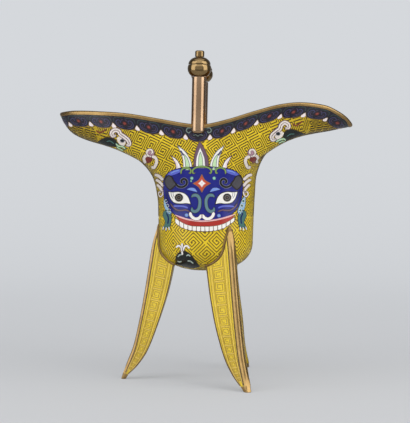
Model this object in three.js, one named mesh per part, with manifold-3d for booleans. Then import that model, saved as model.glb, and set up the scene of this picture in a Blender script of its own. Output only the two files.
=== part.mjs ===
// Ritual wine cup of the jue kind: a tall round bowl whose mouth runs out into a pouring spout (+X) and a
// pointed tail (-X), on three blade legs, with two capped posts on the rim. Copper shell with enamel on it,
// gilt bronze rim, edges and posts. Millimetres, +Z up, origin on the table under the bowl's axis.

import * as THREE from 'three';
import { mergeVertices } from 'three/addons/utils/BufferGeometryUtils.js';
import Module from 'manifold-3d';

const wasm = await Module();
wasm.setup();

// Driving dimensions of the bowl
const wall = 1.8; // copper with the enamel on its outer face
const bowlBottom = 66; // underside of the bowl above the table
const shoulderHeight = 84; // where the rounded bottom has become the side
const shoulderRadius = 28;
const bottomSquareness = 2.4; // exponent of the bottom's profile: 2 is a half ellipse
const waistHeight = 98; // above this the mouth starts to open
const waistRadius = 28.5;
const saddleHeight = 153; // rim between the two posts
const mouthHalfWidth = 30.5; // rim from the axis to the front, across the posts
const tailReach = 87.5; // axis to the tip of the tail
const tailTipHeight = 160;
const spoutReach = 87.5; // axis to the tip of the spout
const spoutPeakHeight = 165.5; // highest point of the spout's rim
const spoutTipHeight = 152.2;
const mouthBlendShare = 0.45; // how far the tail's and the spout's curves run into each other

// Driving dimensions of the rim band
const bandHeight = 2.2;
const bandProud = 0.35; // how far the band stands out from each face of the wall
const bandCrown = 1.1; // height of the band's rounded top

// Driving dimensions of the posts
const postOffset = -3.9; // from the axis, towards the tail
const postLean = THREE.MathUtils.degToRad(1.3); // heads lean towards the spout
const stemRadius = 4.05;
const stemFootDepth = 5.2; // how far the stem's forked foot reaches below the rim
const stemHeight = 27.3; // above the rim
const stemFootRound = 1.8;
const ballRadius = 6.8;
const ballHeight = 6.4;
const ballCrown = 2.0; // from the ball's widest level up to the groove
const ballFlatness = 0.86; // half height of the whole ball as a share of its radius
const capRadius = 6.4;
const capHeight = 4.1;
const capFlatRadius = 2.9; // flat on top of the cap, where the finial sits
const finialRadius = 2.65;
const finialHeight = 3.6;
const finialRound = 0.9;
const rodRadius = 1.0;
const rodInStem = 7; // length of the tie rod that sits in the stem
const rodRecess = 0.5; // how far the rod ends below the finial's top

// Driving dimensions of the legs
const legSpread = THREE.MathUtils.degToRad(60); // from the spout's direction round to each leg beside it
const footReach = 51.2; // axis to the outer edge of a foot
const footDepth = 2.8; // from a foot's outer edge to its inner edge
const footInnerHalfWidth = 2.2;
const footOuterHalfWidth = 1.4;
const bladeHalfWidth = 10.3; // back of a leg under the bowl
const plateThickness = 1.1; // copper sheet of the leg's flanks and back
const ridgeThickness = 1;
const ridgeHalfWidth = 1.3;
const ridgePointHalfWidth = 0.4; // where the ridge ends in the collar's pointed top
const collarThickness = 0.9; // edging between a leg and the bowl
const collarProud = 0.35;
const collarReach = 0.42; // share of the leg's length that its collar is cut from
const ridgeStartShare = 0.12; // the ridge strip stops short of the collar's point, which leaves a small hole
const tubeEnd = 0.972; // share of the leg's length where the sheets stop
const footTop = 0.98; // and where the solid foot starts

// Clearances
const gap = 0.3; // left between pieces that touch

// Facets
const ringSegments = 64;
const turnedSegments = 28;
const rodSegments = 12;
const mouthRows = 12;
const plateSteps = 14;
const collarSteps = 8;
const sliver = 0.05; // least half width of a section that closes to a point

// Shape of the bowl's mouth, in shares: each row is a level from the waist to the rim, with how far out and
// how high the underside of the tail and of the spout have come by then.
const tailKeel = [
  [0, 0], [0.01, 0.2], [0.071, 0.41], [0.246, 0.584], [0.486, 0.679],
  [0.707, 0.734], [0.869, 0.806], [0.956, 0.906], [1, 1],
];
const spoutKeel = [
  [0, 0], [0.012, 0.244], [0.036, 0.489], [0.139, 0.71], [0.363, 0.856],
  [0.585, 0.913], [0.759, 0.946], [0.895, 0.978], [1, 1],
];

// Height of the rim above the saddle: share of the reach, then share of the tail tip's or spout peak's rise
const tailRim = [
  [0, -0.02], [0.105, 0.02], [0.305, 0.44], [0.505, 0.86], [0.675, 1.04], [0.89, 1.13], [1, 1],
];
const spoutRim = [[0, -0.01], [0.16, 0.24], [0.324, 0.59], [0.49, 0.896], [0.64, 1], [0.804, 0.864]];
const spoutLip = [[0.88, 0.663], [0.945, 0.392], [1, 0]]; // share of the drop from the peak to the tip

// Leg in profile, from inside the bowl down to the foot. Each row has how far out the ridge is, as a share of
// the way from the bowl's shoulder to the foot, and its height, then the same for the leg's back, then the
// back's half width as a share of the blade's. Heights in the first rows are shares of the way up from the
// bowl's underside to its shoulder, and in the others shares of the underside's own height.
const legTopRows = [
  [-0.022, 1.667, -0.474, 1, 1.13],
  [0.138, 1.056, -0.431, 0.556, 1.076],
  [0.254, 0.206, -0.362, 0, 1],
];
const legBladeRows = [
  [0.362, 0.818, -0.224, 0.788, 0.967],
  [0.5, 0.558, 0.004, 0.536, 0.902],
  [0.655, 0.318, 0.272, 0.288, 0.717],
  [0.81, 0.17, 0.539, 0.142, 0.533],
  [0.972, 0.038, 0.85, 0.03, 0.3],
];

// Curves

/** A smooth function through points [x, y], with x rising. */
function curveThrough(points) {
  const slope = (i) => {
    const before = points[Math.max(i - 1, 0)];
    const after = points[Math.min(i + 1, points.length - 1)];
    return (after[1] - before[1]) / (after[0] - before[0]);
  };
  return (x) => {
    let i = 0;
    while (i < points.length - 2 && x > points[i + 1][0]) i += 1;
    const [x0, y0] = points[i];
    const [x1, y1] = points[i + 1];
    const span = x1 - x0;
    const s = (x - x0) / span;
    const rise = y0 * (1 + 2 * s) * (1 - s) ** 2 + y1 * (3 - 2 * s) * s * s;
    return rise + span * (slope(i) * s * (1 - s) ** 2 - slope(i + 1) * (1 - s) * s * s);
  };
}

/** The column of a table as a smooth function of 0 to 1 down its rows. */
function columnCurve(rows, column) {
  return curveThrough(rows.map((row, i) => [i / (rows.length - 1), row[column]]));
}

const tailOut = columnCurve(tailKeel, 0);
const tailUp = columnCurve(tailKeel, 1);
const spoutOut = columnCurve(spoutKeel, 0);
const spoutUp = columnCurve(spoutKeel, 1);

const tailRise = tailTipHeight - saddleHeight;
const spoutRise = spoutPeakHeight - saddleHeight;
const spoutTipRise = spoutTipHeight - saddleHeight;
const rimRise = curveThrough([
  ...tailRim.slice(1).reverse().map(([share, rise]) => [-share * tailReach, rise * tailRise]),
  [0, tailRim[0][1] * tailRise],
  ...spoutRim.slice(1).map(([share, rise]) => [share * spoutReach, rise * spoutRise]),
  ...spoutLip.map(([share, rise]) => [
    share * spoutReach,
    spoutTipRise + (spoutRise - spoutTipRise) * rise,
  ]),
]);

// Outer face of the bowl

/** Bottom and side below the waist: level 0 is the middle of the bottom and level 1 the waist. */
function lowerPoint(angle, level) {
  const bend = 0.8; // share of the levels that the rounded bottom takes
  let radius;
  let height;
  if (level < bend) {
    const turn = (level / bend) * (Math.PI / 2);
    const power = 2 / bottomSquareness;
    radius = shoulderRadius * Math.sin(turn) ** power;
    height = shoulderHeight - (shoulderHeight - bowlBottom) * Math.cos(turn) ** power;
  } else {
    const share = (level - bend) / (1 - bend);
    radius = shoulderRadius + (waistRadius - shoulderRadius) * share;
    height = shoulderHeight + (waistHeight - shoulderHeight) * share;
  }
  return new THREE.Vector3(radius * Math.cos(angle), radius * Math.sin(angle), height);
}

/** The opening mouth: level 0 is the waist and level 1 the top of the rim. */
function mouthPoint(angle, level) {
  const along = Math.cos(angle);
  const { smoothstep, lerp } = THREE.MathUtils;
  const toSpout = smoothstep(along, -mouthBlendShare, mouthBlendShare); // 0 at the tail, 1 at the spout
  const tailX = waistRadius + (tailReach - waistRadius) * tailOut(level);
  const spoutX = waistRadius + (spoutReach - waistRadius) * spoutOut(level);
  const tailHeight = waistHeight + (tailTipHeight - waistHeight) * tailUp(level);
  const spoutHeight = waistHeight + (spoutTipHeight - waistHeight) * spoutUp(level);
  const sideHeight = waistHeight + (saddleHeight - waistHeight) * level;
  const sideOut = waistRadius + (mouthHalfWidth - waistRadius) * level;
  const wave = smoothstep(level, 0, 1); // how far this level already follows the rim's curve
  const tailEndRise = tailHeight - sideHeight - wave * rimRise(-tailX);
  const spoutEndRise = spoutHeight - sideHeight - wave * rimRise(spoutX);
  const x = lerp(tailX, spoutX, toSpout) * along;
  const endRise = lerp(tailEndRise, spoutEndRise, toSpout);
  const height = sideHeight + wave * rimRise(x) + endRise * along * along;
  return new THREE.Vector3(x, sideOut * Math.sin(angle), height);
}

/** Level 0 to 1 is the lower part and 1 to 2 the mouth. */
function outerPoint(angle, level) {
  return level < 1 ? lowerPoint(angle, level) : mouthPoint(angle, level - 1);
}

/** The outward normal and the direction down the outer face. */
function faceAxes(angle, level) {
  const step = 1e-3;
  const low = Math.max(level - step, step);
  const high = Math.min(level + step, 2);
  const around = outerPoint(angle + step, level).sub(outerPoint(angle - step, level));
  const down = outerPoint(angle, low).sub(outerPoint(angle, high)).normalize();
  const normal = new THREE.Vector3().crossVectors(down, around).normalize();
  return { normal, down };
}

/** A point of the wall: depth goes into it from the outer face, drop goes down from the rim's edge. */
function wallPoint(angle, level, depth, drop = 0) {
  const { normal, down } = faceAxes(angle, level);
  return outerPoint(angle, level).addScaledVector(normal, -depth).addScaledVector(down, drop);
}

const ringAngles = Array.from({ length: ringSegments }, (_, i) => (i / ringSegments) * 2 * Math.PI);

// Closed bodies

/** One closed geometry from triangles, turned so that its faces point out. */
function closedGeometry(points, triangles) {
  let volume = 0;
  for (const [a, b, c] of triangles) {
    volume += points[a].dot(new THREE.Vector3().crossVectors(points[b], points[c]));
  }
  const facing = volume < 0 ? triangles.map(([a, b, c]) => [a, c, b]) : triangles;
  const geometry = new THREE.BufferGeometry().setFromPoints(points);
  geometry.setIndex(facing.flat());
  return geometry;
}

/** Skins rings of points. An open skin has a face of its own at each end; a looped one joins end to start. */
function skin(rings, looped = false) {
  const points = rings.flat();
  const size = rings[0].length;
  const triangles = [];
  const last = looped ? rings.length : rings.length - 1;
  for (let r = 0; r < last; r += 1) {
    const here = r * size;
    const next = ((r + 1) % rings.length) * size;
    for (let i = 0; i < size; i += 1) {
      const j = (i + 1) % size;
      triangles.push([here + i, next + i, next + j], [here + i, next + j, here + j]);
    }
  }
  if (!looped) {
    const end = (rings.length - 1) * size;
    for (let i = 1; i < size - 1; i += 1) {
      triangles.push([0, i, i + 1], [end, end + i + 1, end + i]);
    }
  }
  return closedGeometry(points, triangles);
}

/** Skins rings between two single points. */
function skinBetween(start, rings, end) {
  const size = rings[0].length;
  const points = [start, ...rings.flat(), end];
  const endIndex = points.length - 1;
  const triangles = [];
  for (let i = 0; i < size; i += 1) {
    const j = (i + 1) % size;
    const lastRing = 1 + (rings.length - 1) * size;
    triangles.push([0, 1 + i, 1 + j], [endIndex, lastRing + j, lastRing + i]);
    for (let r = 0; r < rings.length - 1; r += 1) {
      const here = 1 + r * size;
      const next = here + size;
      triangles.push([here + i, next + i, next + j], [here + i, next + j, here + j]);
    }
  }
  return closedGeometry(points, triangles);
}

/** Turned piece: its profile [radius, height] starts and ends on the axis, or closes on itself. */
function turned(profile, segments = turnedSegments) {
  const first = profile[0];
  const onAxis = first[0] === 0;
  const outline = (onAxis ? profile : [...profile, first]).map(([r, h]) => new THREE.Vector2(r, h));
  const geometry = new THREE.LatheGeometry(outline, segments);
  geometry.rotateX(Math.PI / 2); // the lathe turns about Y
  return closedCopy(geometry);
}

/** The same geometry with its seams closed and its faces pointing out. */
function closedCopy(geometry) {
  const bare = geometry.clone();
  bare.deleteAttribute('normal');
  bare.deleteAttribute('uv');
  const merged = mergeVertices(bare, 1e-4);
  const position = merged.getAttribute('position');
  const points = Array.from({ length: position.count }, (_, i) =>
    new THREE.Vector3().fromBufferAttribute(position, i));
  const index = merged.getIndex().array;
  const triangles = [];
  for (let i = 0; i < index.length; i += 3) {
    const [a, b, c] = [index[i], index[i + 1], index[i + 2]];
    if (a !== b && b !== c && c !== a) triangles.push([a, b, c]);
  }
  return closedGeometry(points, triangles);
}

function toSolid(geometry) {
  return new wasm.Manifold(new wasm.Mesh({
    numProp: 3,
    vertProperties: new Float32Array(geometry.getAttribute('position').array),
    triVerts: new Uint32Array(geometry.getIndex().array),
  }));
}

function toGeometry(solid) {
  const mesh = solid.getMesh();
  const geometry = new THREE.BufferGeometry();
  geometry.setAttribute('position', new THREE.BufferAttribute(mesh.vertProperties, 3));
  geometry.setIndex(new THREE.BufferAttribute(mesh.triVerts, 1));
  return geometry;
}

// Materials

const enamel = new THREE.MeshStandardMaterial({ color: 0xc9aa33, roughness: 0.25, metalness: 0 });
const gilt = new THREE.MeshStandardMaterial({ color: 0xc8a468, roughness: 0.32, metalness: 1 });
const bronze = new THREE.MeshStandardMaterial({ color: 0x9a7048, roughness: 0.28, metalness: 1 });
const rodMetal = new THREE.MeshStandardMaterial({ color: 0x8d8a84, roughness: 0.4, metalness: 1 });

function piece(name, geometry, material) {
  const mesh = new THREE.Mesh(geometry, material);
  mesh.name = name;
  return mesh;
}

// Bowl: the outer face from the middle of the bottom up to the rim band, and the inner face back down

function bowlShell() {
  const lowerLevels = [0.16, 0.32, 0.46, 0.58, 0.69, 0.8];
  const belowBand = 0.96; // level of the mouth where the rows stop, just under the rim band
  const mouthLevels = Array.from({ length: mouthRows }, (_, i) => 1 + (i / mouthRows) * belowBand);
  const levels = [...lowerLevels, ...mouthLevels];
  const ring = (level, depth) => ringAngles.map((angle) => wallPoint(angle, level, depth));
  const edge = (depth) => ringAngles.map((angle) => wallPoint(angle, 2, depth, bandHeight + gap));
  const outside = levels.map((level) => ring(level, 0));
  const inside = levels.map((level) => ring(level, wall)).reverse();
  const start = new THREE.Vector3(0, 0, bowlBottom);
  const end = new THREE.Vector3(0, 0, bowlBottom + wall);
  return skinBetween(start, [...outside, edge(0), edge(wall), ...inside], end);
}

// Rim band: a gilt strip on the wall's edge, round on top

function rimBand() {
  const half = wall / 2 + bandProud;
  const crownSteps = 4;
  const crown = Array.from({ length: crownSteps + 1 }, (_, i) => {
    const turn = (i / crownSteps) * Math.PI;
    return [wall / 2 - half * Math.cos(turn), (1 - Math.sin(turn)) * bandCrown];
  });
  const section = [[-bandProud, bandHeight], ...crown, [wall + bandProud, bandHeight]];
  const rings = ringAngles.map((angle) => section.map(([depth, drop]) => wallPoint(angle, 2, depth, drop)));
  return skin(rings, true);
}

// Posts: a forked stem on the rim, with a ball, a cap and a finial drawn down on it by a tie rod

const wallMiddle = mouthHalfWidth * Math.sqrt(1 - (postOffset / tailReach) ** 2) - wall / 2;
const seatHeight = saddleHeight + rimRise(postOffset);
const holeRadius = rodRadius + gap;
const stemTop = seatHeight + stemHeight;
const ballBottom = stemTop + gap;
const ballTop = ballBottom + ballHeight;
const capBottom = ballTop + gap;
const capTop = capBottom + capHeight;
const finialBottom = capTop + gap;
const finialTop = finialBottom + finialHeight;

/** Points on part of an ellipse, as [radius, height], between two heights. */
function bulge(radius, middle, halfHeight, from, to, steps) {
  return Array.from({ length: steps + 1 }, (_, i) => {
    const start = Math.asin((from - middle) / halfHeight);
    const finish = Math.asin((to - middle) / halfHeight);
    const turn = start + (finish - start) * (i / steps);
    return [radius * Math.cos(turn), middle + halfHeight * Math.sin(turn)];
  });
}

/** A quarter round at the outer edge of a turned piece, from its side to its end. */
function rounded(radius, height, round, direction, steps = 3) {
  return Array.from({ length: steps + 1 }, (_, i) => {
    const turn = (i / steps) * (Math.PI / 2);
    return [radius - round * (1 - Math.cos(turn)), height - direction * round * (1 - Math.sin(turn))];
  });
}

function stem() {
  const bottom = seatHeight - stemFootDepth;
  const body = turned([
    [0, bottom],
    ...rounded(stemRadius, bottom, stemFootRound, -1).reverse(),
    [stemRadius, stemTop],
    [holeRadius, stemTop],
    [holeRadius, stemTop - rodInStem - gap],
    [0, stemTop - rodInStem - gap],
  ]);
  const slotWidth = wall + 2 * (bandProud + gap);
  const slotLength = 4 * stemRadius; // runs out past both sides of the stem
  const slotHeight = 2 * stemFootDepth; // and out past its bottom
  const slot = new THREE.BoxGeometry(slotLength, slotWidth, slotHeight);
  slot.translate(0, 0, seatHeight + gap - slotHeight / 2);
  return toGeometry(toSolid(body).subtract(toSolid(closedCopy(slot))));
}

function ball() {
  const middle = ballTop - ballCrown;
  return turned([
    [holeRadius, ballBottom],
    ...bulge(ballRadius, middle, ballRadius * ballFlatness, ballBottom, ballTop, 8),
    [holeRadius, ballTop],
  ]);
}

function cap() {
  const halfHeight = capHeight / Math.sqrt(1 - (capFlatRadius / capRadius) ** 2);
  return turned([
    [holeRadius, capBottom],
    ...bulge(capRadius, capBottom, halfHeight, capBottom, capTop, 6),
    [holeRadius, capTop],
  ]);
}

function finial() {
  return turned([
    [holeRadius, finialBottom],
    [finialRadius, finialBottom],
    ...rounded(finialRadius, finialTop, finialRound, 1),
    [holeRadius, finialTop],
  ]);
}

function tieRod() {
  const bottom = stemTop - rodInStem;
  const top = finialTop - rodRecess;
  return turned([[0, bottom], [rodRadius, bottom], [rodRadius, top], [0, top]], rodSegments);
}

function post(name, side) {
  const group = new THREE.Group();
  group.add(
    piece(`post_${name}_stem`, stem(), bronze),
    piece(`post_${name}_ball`, ball(), bronze),
    piece(`post_${name}_cap`, cap(), bronze),
    piece(`post_${name}_finial`, finial(), gilt),
    piece(`post_${name}_tie_rod`, tieRod(), rodMetal),
  );
  // The post leans about the point where it sits on the rim
  const seat = new THREE.Vector3(0, 0, seatHeight);
  group.rotation.y = postLean;
  group.position.set(postOffset, side * wallMiddle, 0).add(seat);
  group.position.sub(seat.applyEuler(group.rotation));
  return group;
}

// Legs: two enamelled flank sheets and a back sheet make a three-sided tube, with a bronze ridge strip along
// its outer edge, a collar where it meets the bowl and a solid foot

const splay = (share) => shoulderRadius + (footReach - shoulderRadius) * share;
const upBottom = (share) => bowlBottom + (shoulderHeight - bowlBottom) * share;
const legRows = [
  ...legTopRows.map(([ridge, ridgeShare, back, backShare, half]) => [
    splay(ridge), upBottom(ridgeShare), splay(back), upBottom(backShare), half * bladeHalfWidth,
  ]),
  ...legBladeRows.map(([ridge, ridgeShare, back, backShare, half]) => [
    splay(ridge), bowlBottom * ridgeShare, splay(back), bowlBottom * backShare, half * bladeHalfWidth,
  ]),
];
const [ridgeOut, ridgeUp, backOut, backUp, backHalf] = legRows[0].map((_, column) =>
  columnCurve(legRows, column));

/** A leg's section at a share of its length: depth runs from its back to its ridge, and across sideways. */
function legSection(share) {
  const ridge = new THREE.Vector2(ridgeOut(share), ridgeUp(share));
  const back = new THREE.Vector2(backOut(share), backUp(share));
  const length = ridge.distanceTo(back);
  const half = backHalf(share);
  const tapered = THREE.MathUtils.smoothstep(share, 0, ridgeStartShare);
  const ridgeHalf = ridgePointHalfWidth + (ridgeHalfWidth - ridgePointHalfWidth) * tapered;
  const lean = Math.hypot(half - ridgeHalf, length) / length;
  return {
    length,
    sheet: plateThickness * lean, // the flank's thickness measured across
    halfAt: (depth) => half + (ridgeHalf - half) * (depth / length),
    point: (depth, across) => {
      const place = back.clone().lerp(ridge, depth / length);
      return new THREE.Vector3(place.x, across, place.y);
    },
  };
}

/** Lofts an outline, given for each section as [depth, across], along part of a leg. */
function alongLeg(outline, from, to, steps) {
  const rings = Array.from({ length: steps + 1 }, (_, i) => {
    const section = legSection(from + (to - from) * (i / steps));
    return outline(section).map(([depth, across]) => section.point(depth, across));
  });
  return skin(rings);
}

const flankOutline = (side) => ({ length, sheet, halfAt }) => {
  const outer = length - ridgeThickness - gap;
  return [
    [0, side * halfAt(0)],
    [outer, side * halfAt(outer)],
    [outer, side * (halfAt(outer) - sheet)],
    [0, side * (halfAt(0) - sheet)],
  ];
};

const backOutline = ({ sheet, halfAt }) => {
  const near = halfAt(0) - sheet - gap;
  const far = halfAt(plateThickness) - sheet - gap;
  return [[0, -near], [0, near], [plateThickness, far], [plateThickness, -far]];
};

const ridgeOutline = ({ length, halfAt }) => {
  const inner = length - ridgeThickness;
  return [
    [inner, -halfAt(inner)],
    [inner, halfAt(inner)],
    [length, halfAt(length)],
    [length, -halfAt(length)],
  ];
};

/** The three-sided tube, grown or shrunk by a distance, and closing to a sliver where it is too narrow. */
const tubeOutline = (grow) => ({ length, halfAt }) => {
  const backSide = halfAt(0) + grow;
  const ridgeSide = Math.max(halfAt(length) + grow, sliver);
  return [
    [-grow, -backSide],
    [-grow, backSide],
    [length + grow, ridgeSide],
    [length + grow, -ridgeSide],
  ];
};

/** The bowl's lower part, grown outwards and carried up past the legs, as a solid to cut with. */
function grownBowl(grow) {
  const steps = 14;
  const [first, last] = [0.06, 0.99]; // levels of its lowest and highest ring
  const profile = Array.from({ length: steps + 1 }, (_, i) => {
    const place = wallPoint(0, first + (last - first) * (i / steps), -grow);
    return [place.x, place.z];
  });
  const [radius, height] = profile[steps];
  const top = Math.max(height, ridgeUp(0)) + bladeHalfWidth;
  return toSolid(turned([[0, bowlBottom - grow], ...profile, [radius, top], [0, top]], ringSegments));
}

const bowlForPlates = grownBowl(gap + collarThickness + gap);
const bowlForCollar = grownBowl(gap);
const bowlOverCollar = grownBowl(gap + collarThickness);

/** Cuts a leg's piece off where the collar and the bowl are. */
function seated(geometry) {
  return toGeometry(toSolid(geometry).subtract(bowlForPlates));
}

function collar() {
  const outside = toSolid(alongLeg(tubeOutline(collarProud), 0, collarReach, collarSteps));
  const inside = toSolid(alongLeg(tubeOutline(-plateThickness), 0, collarReach + 0.01, collarSteps));
  const sleeve = outside.subtract(inside);
  return toGeometry(sleeve.intersect(bowlOverCollar.subtract(bowlForCollar)));
}

function foot() {
  const { length, halfAt, point } = legSection(footTop);
  const across = [-halfAt(0), halfAt(0), halfAt(length), -halfAt(length)];
  const depths = [0, 0, length, length];
  const upper = depths.map((depth, i) => point(depth, across[i]));
  const inner = footReach - footDepth;
  const lower = [
    new THREE.Vector3(inner, -footInnerHalfWidth, 0),
    new THREE.Vector3(inner, footInnerHalfWidth, 0),
    new THREE.Vector3(footReach, footOuterHalfWidth, 0),
    new THREE.Vector3(footReach, -footOuterHalfWidth, 0),
  ];
  return skin([upper, lower]);
}

function leg(name, angle) {
  const ridge = alongLeg(ridgeOutline, ridgeStartShare, tubeEnd, plateSteps);
  const group = new THREE.Group();
  group.add(
    piece(`leg_${name}_flank_left`, seated(alongLeg(flankOutline(1), 0, tubeEnd, plateSteps)), enamel),
    piece(`leg_${name}_flank_right`, seated(alongLeg(flankOutline(-1), 0, tubeEnd, plateSteps)), enamel),
    piece(`leg_${name}_back_sheet`, seated(alongLeg(backOutline, 0, tubeEnd, plateSteps)), bronze),
    piece(`leg_${name}_ridge_strip`, seated(ridge), gilt),
    piece(`leg_${name}_collar`, collar(), gilt),
    piece(`leg_${name}_foot`, foot(), gilt),
  );
  group.rotation.z = angle;
  return group;
}

// Assembly

const cup = new THREE.Group();
cup.add(piece('bowl_shell', bowlShell(), enamel));
cup.add(piece('rim_band', rimBand(), gilt));
cup.add(post('front', -1), post('back', 1));
cup.add(leg('tail', Math.PI), leg('front', -legSpread), leg('back', legSpread));

export default cup;
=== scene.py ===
import math

import bpy
import numpy as np
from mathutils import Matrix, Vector
from mathutils.bvhtree import BVHTree
from mathutils.geometry import delaunay_2d_cdt


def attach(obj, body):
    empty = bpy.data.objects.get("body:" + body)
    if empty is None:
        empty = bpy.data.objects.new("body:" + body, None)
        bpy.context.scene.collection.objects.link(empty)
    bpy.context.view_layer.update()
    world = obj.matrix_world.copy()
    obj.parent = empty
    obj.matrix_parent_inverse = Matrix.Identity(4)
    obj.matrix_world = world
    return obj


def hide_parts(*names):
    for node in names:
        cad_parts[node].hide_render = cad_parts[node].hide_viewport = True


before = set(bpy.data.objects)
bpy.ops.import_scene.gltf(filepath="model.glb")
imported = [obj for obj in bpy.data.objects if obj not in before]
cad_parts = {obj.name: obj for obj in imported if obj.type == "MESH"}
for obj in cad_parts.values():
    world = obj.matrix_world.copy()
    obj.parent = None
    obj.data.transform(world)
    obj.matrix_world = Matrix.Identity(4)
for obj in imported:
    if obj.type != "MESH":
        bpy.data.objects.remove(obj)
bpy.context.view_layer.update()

# Camera: a long lens a little above the cup's middle, looking slightly down at it from the front.
# Sizes in this file are millimetres, and each mesh is turned into metres when it is made.
MM = 0.001
image_width = 410
image_height = 423
eye_distance = 780
eye_height = 139.2
eye_turn = math.radians(1.2)  # the eye stands a little towards the spout
drawing_unit = 0.6  # one step of the front drawing, measured at the bowl's axis
drawing_axis = 206  # column of the front drawing that the bowl's axis is on
drawing_horizon = 148  # row of the front drawing that is level with the eye
sensor = 36
eye = Vector((math.sin(eye_turn) * eye_distance, -math.cos(eye_turn) * eye_distance, eye_height))
sideways = Vector((math.cos(eye_turn), math.sin(eye_turn), 0))


def drawn_at_axis(column, row):
    """The point of the upright plane through the axis that a place of the front drawing stands for."""
    height = eye_height - (row - drawing_horizon) * drawing_unit
    return sideways * (column - drawing_axis) * drawing_unit + Vector((0, 0, height))


aim = drawn_at_axis(image_width / 2, image_height / 2)
camera_data = bpy.data.cameras.new("camera")
camera_data.sensor_width = sensor
camera_data.lens = (aim - eye).length / drawing_unit * sensor / image_height
camera_data.clip_start = 0.01
camera = bpy.data.objects.new("camera", camera_data)
camera.location = eye * MM
camera.rotation_euler = (aim - eye).to_track_quat("-Z", "Y").to_euler()
bpy.context.collection.objects.link(camera)
bpy.context.scene.camera = camera
bpy.context.scene.view_settings.view_transform = "Standard"


# Studio: a pale grey paper sweep that is floor and backdrop in one, upright softboxes at the cup's left and
# right, a wide one high in front, and weak ones behind the camera and above the cup.
class Link:
    """A socket of a finish, so that shader maths reads as ordinary sums."""

    def __init__(self, finish, socket):
        self.finish = finish
        self.socket = socket

    def sum(self, operation, *terms):
        return self.finish.add("ShaderNodeMath", {"operation": operation}, dict(enumerate(terms)))

    def __add__(self, other):
        return self.sum("ADD", self, other)

    def __mul__(self, other):
        return self.sum("MULTIPLY", self, other)

    __radd__ = __add__
    __rmul__ = __mul__


class Finish:
    """A named material round one principled shader, whose constants are set on its own sockets."""

    def __init__(self, name, **constants):
        self.material = bpy.data.materials.new(name)
        self.material.use_nodes = True
        self.nodes = self.material.node_tree.nodes
        self.links = self.material.node_tree.links
        self.shader = self.nodes["Principled BSDF"]
        for socket, value in constants.items():
            self.shader.inputs[socket.replace("_", " ")].default_value = value

    def add(self, kind, settings=None, sockets=None, output=0):
        """One node: its settings first, then the values or links of its sockets."""
        node = self.nodes.new(kind)
        for name, value in (settings or {}).items():
            setattr(node, name, value)
        for name, value in (sockets or {}).items():
            if isinstance(value, Link):
                self.links.new(value.socket, node.inputs[name])
            else:
                node.inputs[name].default_value = value
        return Link(self, node.outputs[output])

    def blend(self, factor, first, second):
        """A mix of two colours, whose sockets on the node can only be told apart by number."""
        return self.add("ShaderNodeMix", {"data_type": "RGBA"}, {0: factor, 6: first, 7: second}, 2)

    def feed(self, **sockets):
        for socket, link in sockets.items():
            self.links.new(link.socket, self.shader.inputs[socket.replace("_", " ")])

    def noise(self, scale, detail=3, roughness=0.5):
        place = self.add("ShaderNodeTexCoord", output="Object")
        sockets = {"Vector": place, "Scale": scale, "Detail": detail, "Roughness": roughness}
        return self.add("ShaderNodeTexNoise", None, sockets)

    def place_on(self, axis):
        """How far along an axis each place of the object is, in metres."""
        place = self.add("ShaderNodeTexCoord", output="Object")
        return self.add("ShaderNodeSeparateXYZ", None, {"Vector": place}, axis)

    def ramp(self, value, low, high, most=1, course="SMOOTHSTEP"):
        """A value brought from the range of low to high into that of 0 to most."""
        sockets = {"Value": value, "From Min": low, "From Max": high, "To Max": most}
        return self.add("ShaderNodeMapRange", {"interpolation_type": course}, sockets)

    def roughen(self, scale, detail, spread, least):
        """A roughness that drifts over the surface, upwards from its least value."""
        self.feed(Roughness=self.noise(scale, detail) * spread + least)

    def relieve(self, scale, detail, strength, distance):
        """A faint unevenness of the surface."""
        sockets = {"Strength": strength, "Distance": distance, "Height": self.noise(scale, detail)}
        self.feed(Normal=self.add("ShaderNodeBump", None, sockets))


def shade(red, green, blue, alpha=1):
    """A colour given as it looks, from 0 to 255, turned into the light values that a shader works in."""
    values = np.array([red, green, blue]) / 255
    light = np.where(values <= 0.04045, values / 12.92, ((values + 0.055) / 1.055) ** 2.4)
    return (*(float(value) for value in light), alpha)


sweep_half_width = 600
sweep_front = -320
sweep_bend = 500  # where the floor starts to turn up
sweep_radius = 700
sweep_height = 2200
bend_steps = 24
sweep_profile = [(sweep_front, 0), (sweep_bend, 0)]
for step in range(1, bend_steps + 1):
    turn = step / bend_steps * math.pi / 2
    across = sweep_bend + sweep_radius * math.sin(turn)
    sweep_profile.append((across, sweep_radius * (1 - math.cos(turn))))
sweep_profile.append((sweep_bend + sweep_radius, sweep_height))
sweep_points = []
for depth, height in sweep_profile:
    sweep_points.append((-sweep_half_width * MM, depth * MM, height * MM))
    sweep_points.append((sweep_half_width * MM, depth * MM, height * MM))
sweep_faces = [(2 * i, 2 * i + 1, 2 * i + 3, 2 * i + 2) for i in range(len(sweep_profile) - 1)]
sweep_mesh = bpy.data.meshes.new("studio_sweep")
sweep_mesh.from_pydata(sweep_points, [], sweep_faces)
sweep_mesh.polygons.foreach_set("use_smooth", [True] * len(sweep_faces))
paper = Finish("grey_paper", Roughness=0.9)
paper_tone = paper.noise(9, 2) * 0.04 + 0.48
paper_colour = paper.blend(paper_tone, shade(190, 191, 193), shade(206, 207, 209))
paper.feed(Base_Color=paper_colour)
camera_ray = paper.add("ShaderNodeLightPath")
fade_start = -0.83  # metres along Y over which the lit paper turns into an even glow
fade_end = 1.1
far = paper.ramp(paper.place_on("Y"), fade_start, fade_end)
glow = paper.add("ShaderNodeEmission", None, {"Color": shade(213, 216, 220), "Strength": 1.0})
lit = Link(paper, paper.shader.outputs[0])
mixed = paper.add("ShaderNodeMixShader", None, {0: camera_ray * far, 1: lit, 2: glow})
paper.links.new(mixed.socket, paper.nodes["Material Output"].inputs["Surface"])
sweep_mesh.materials.append(paper.material)
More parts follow.
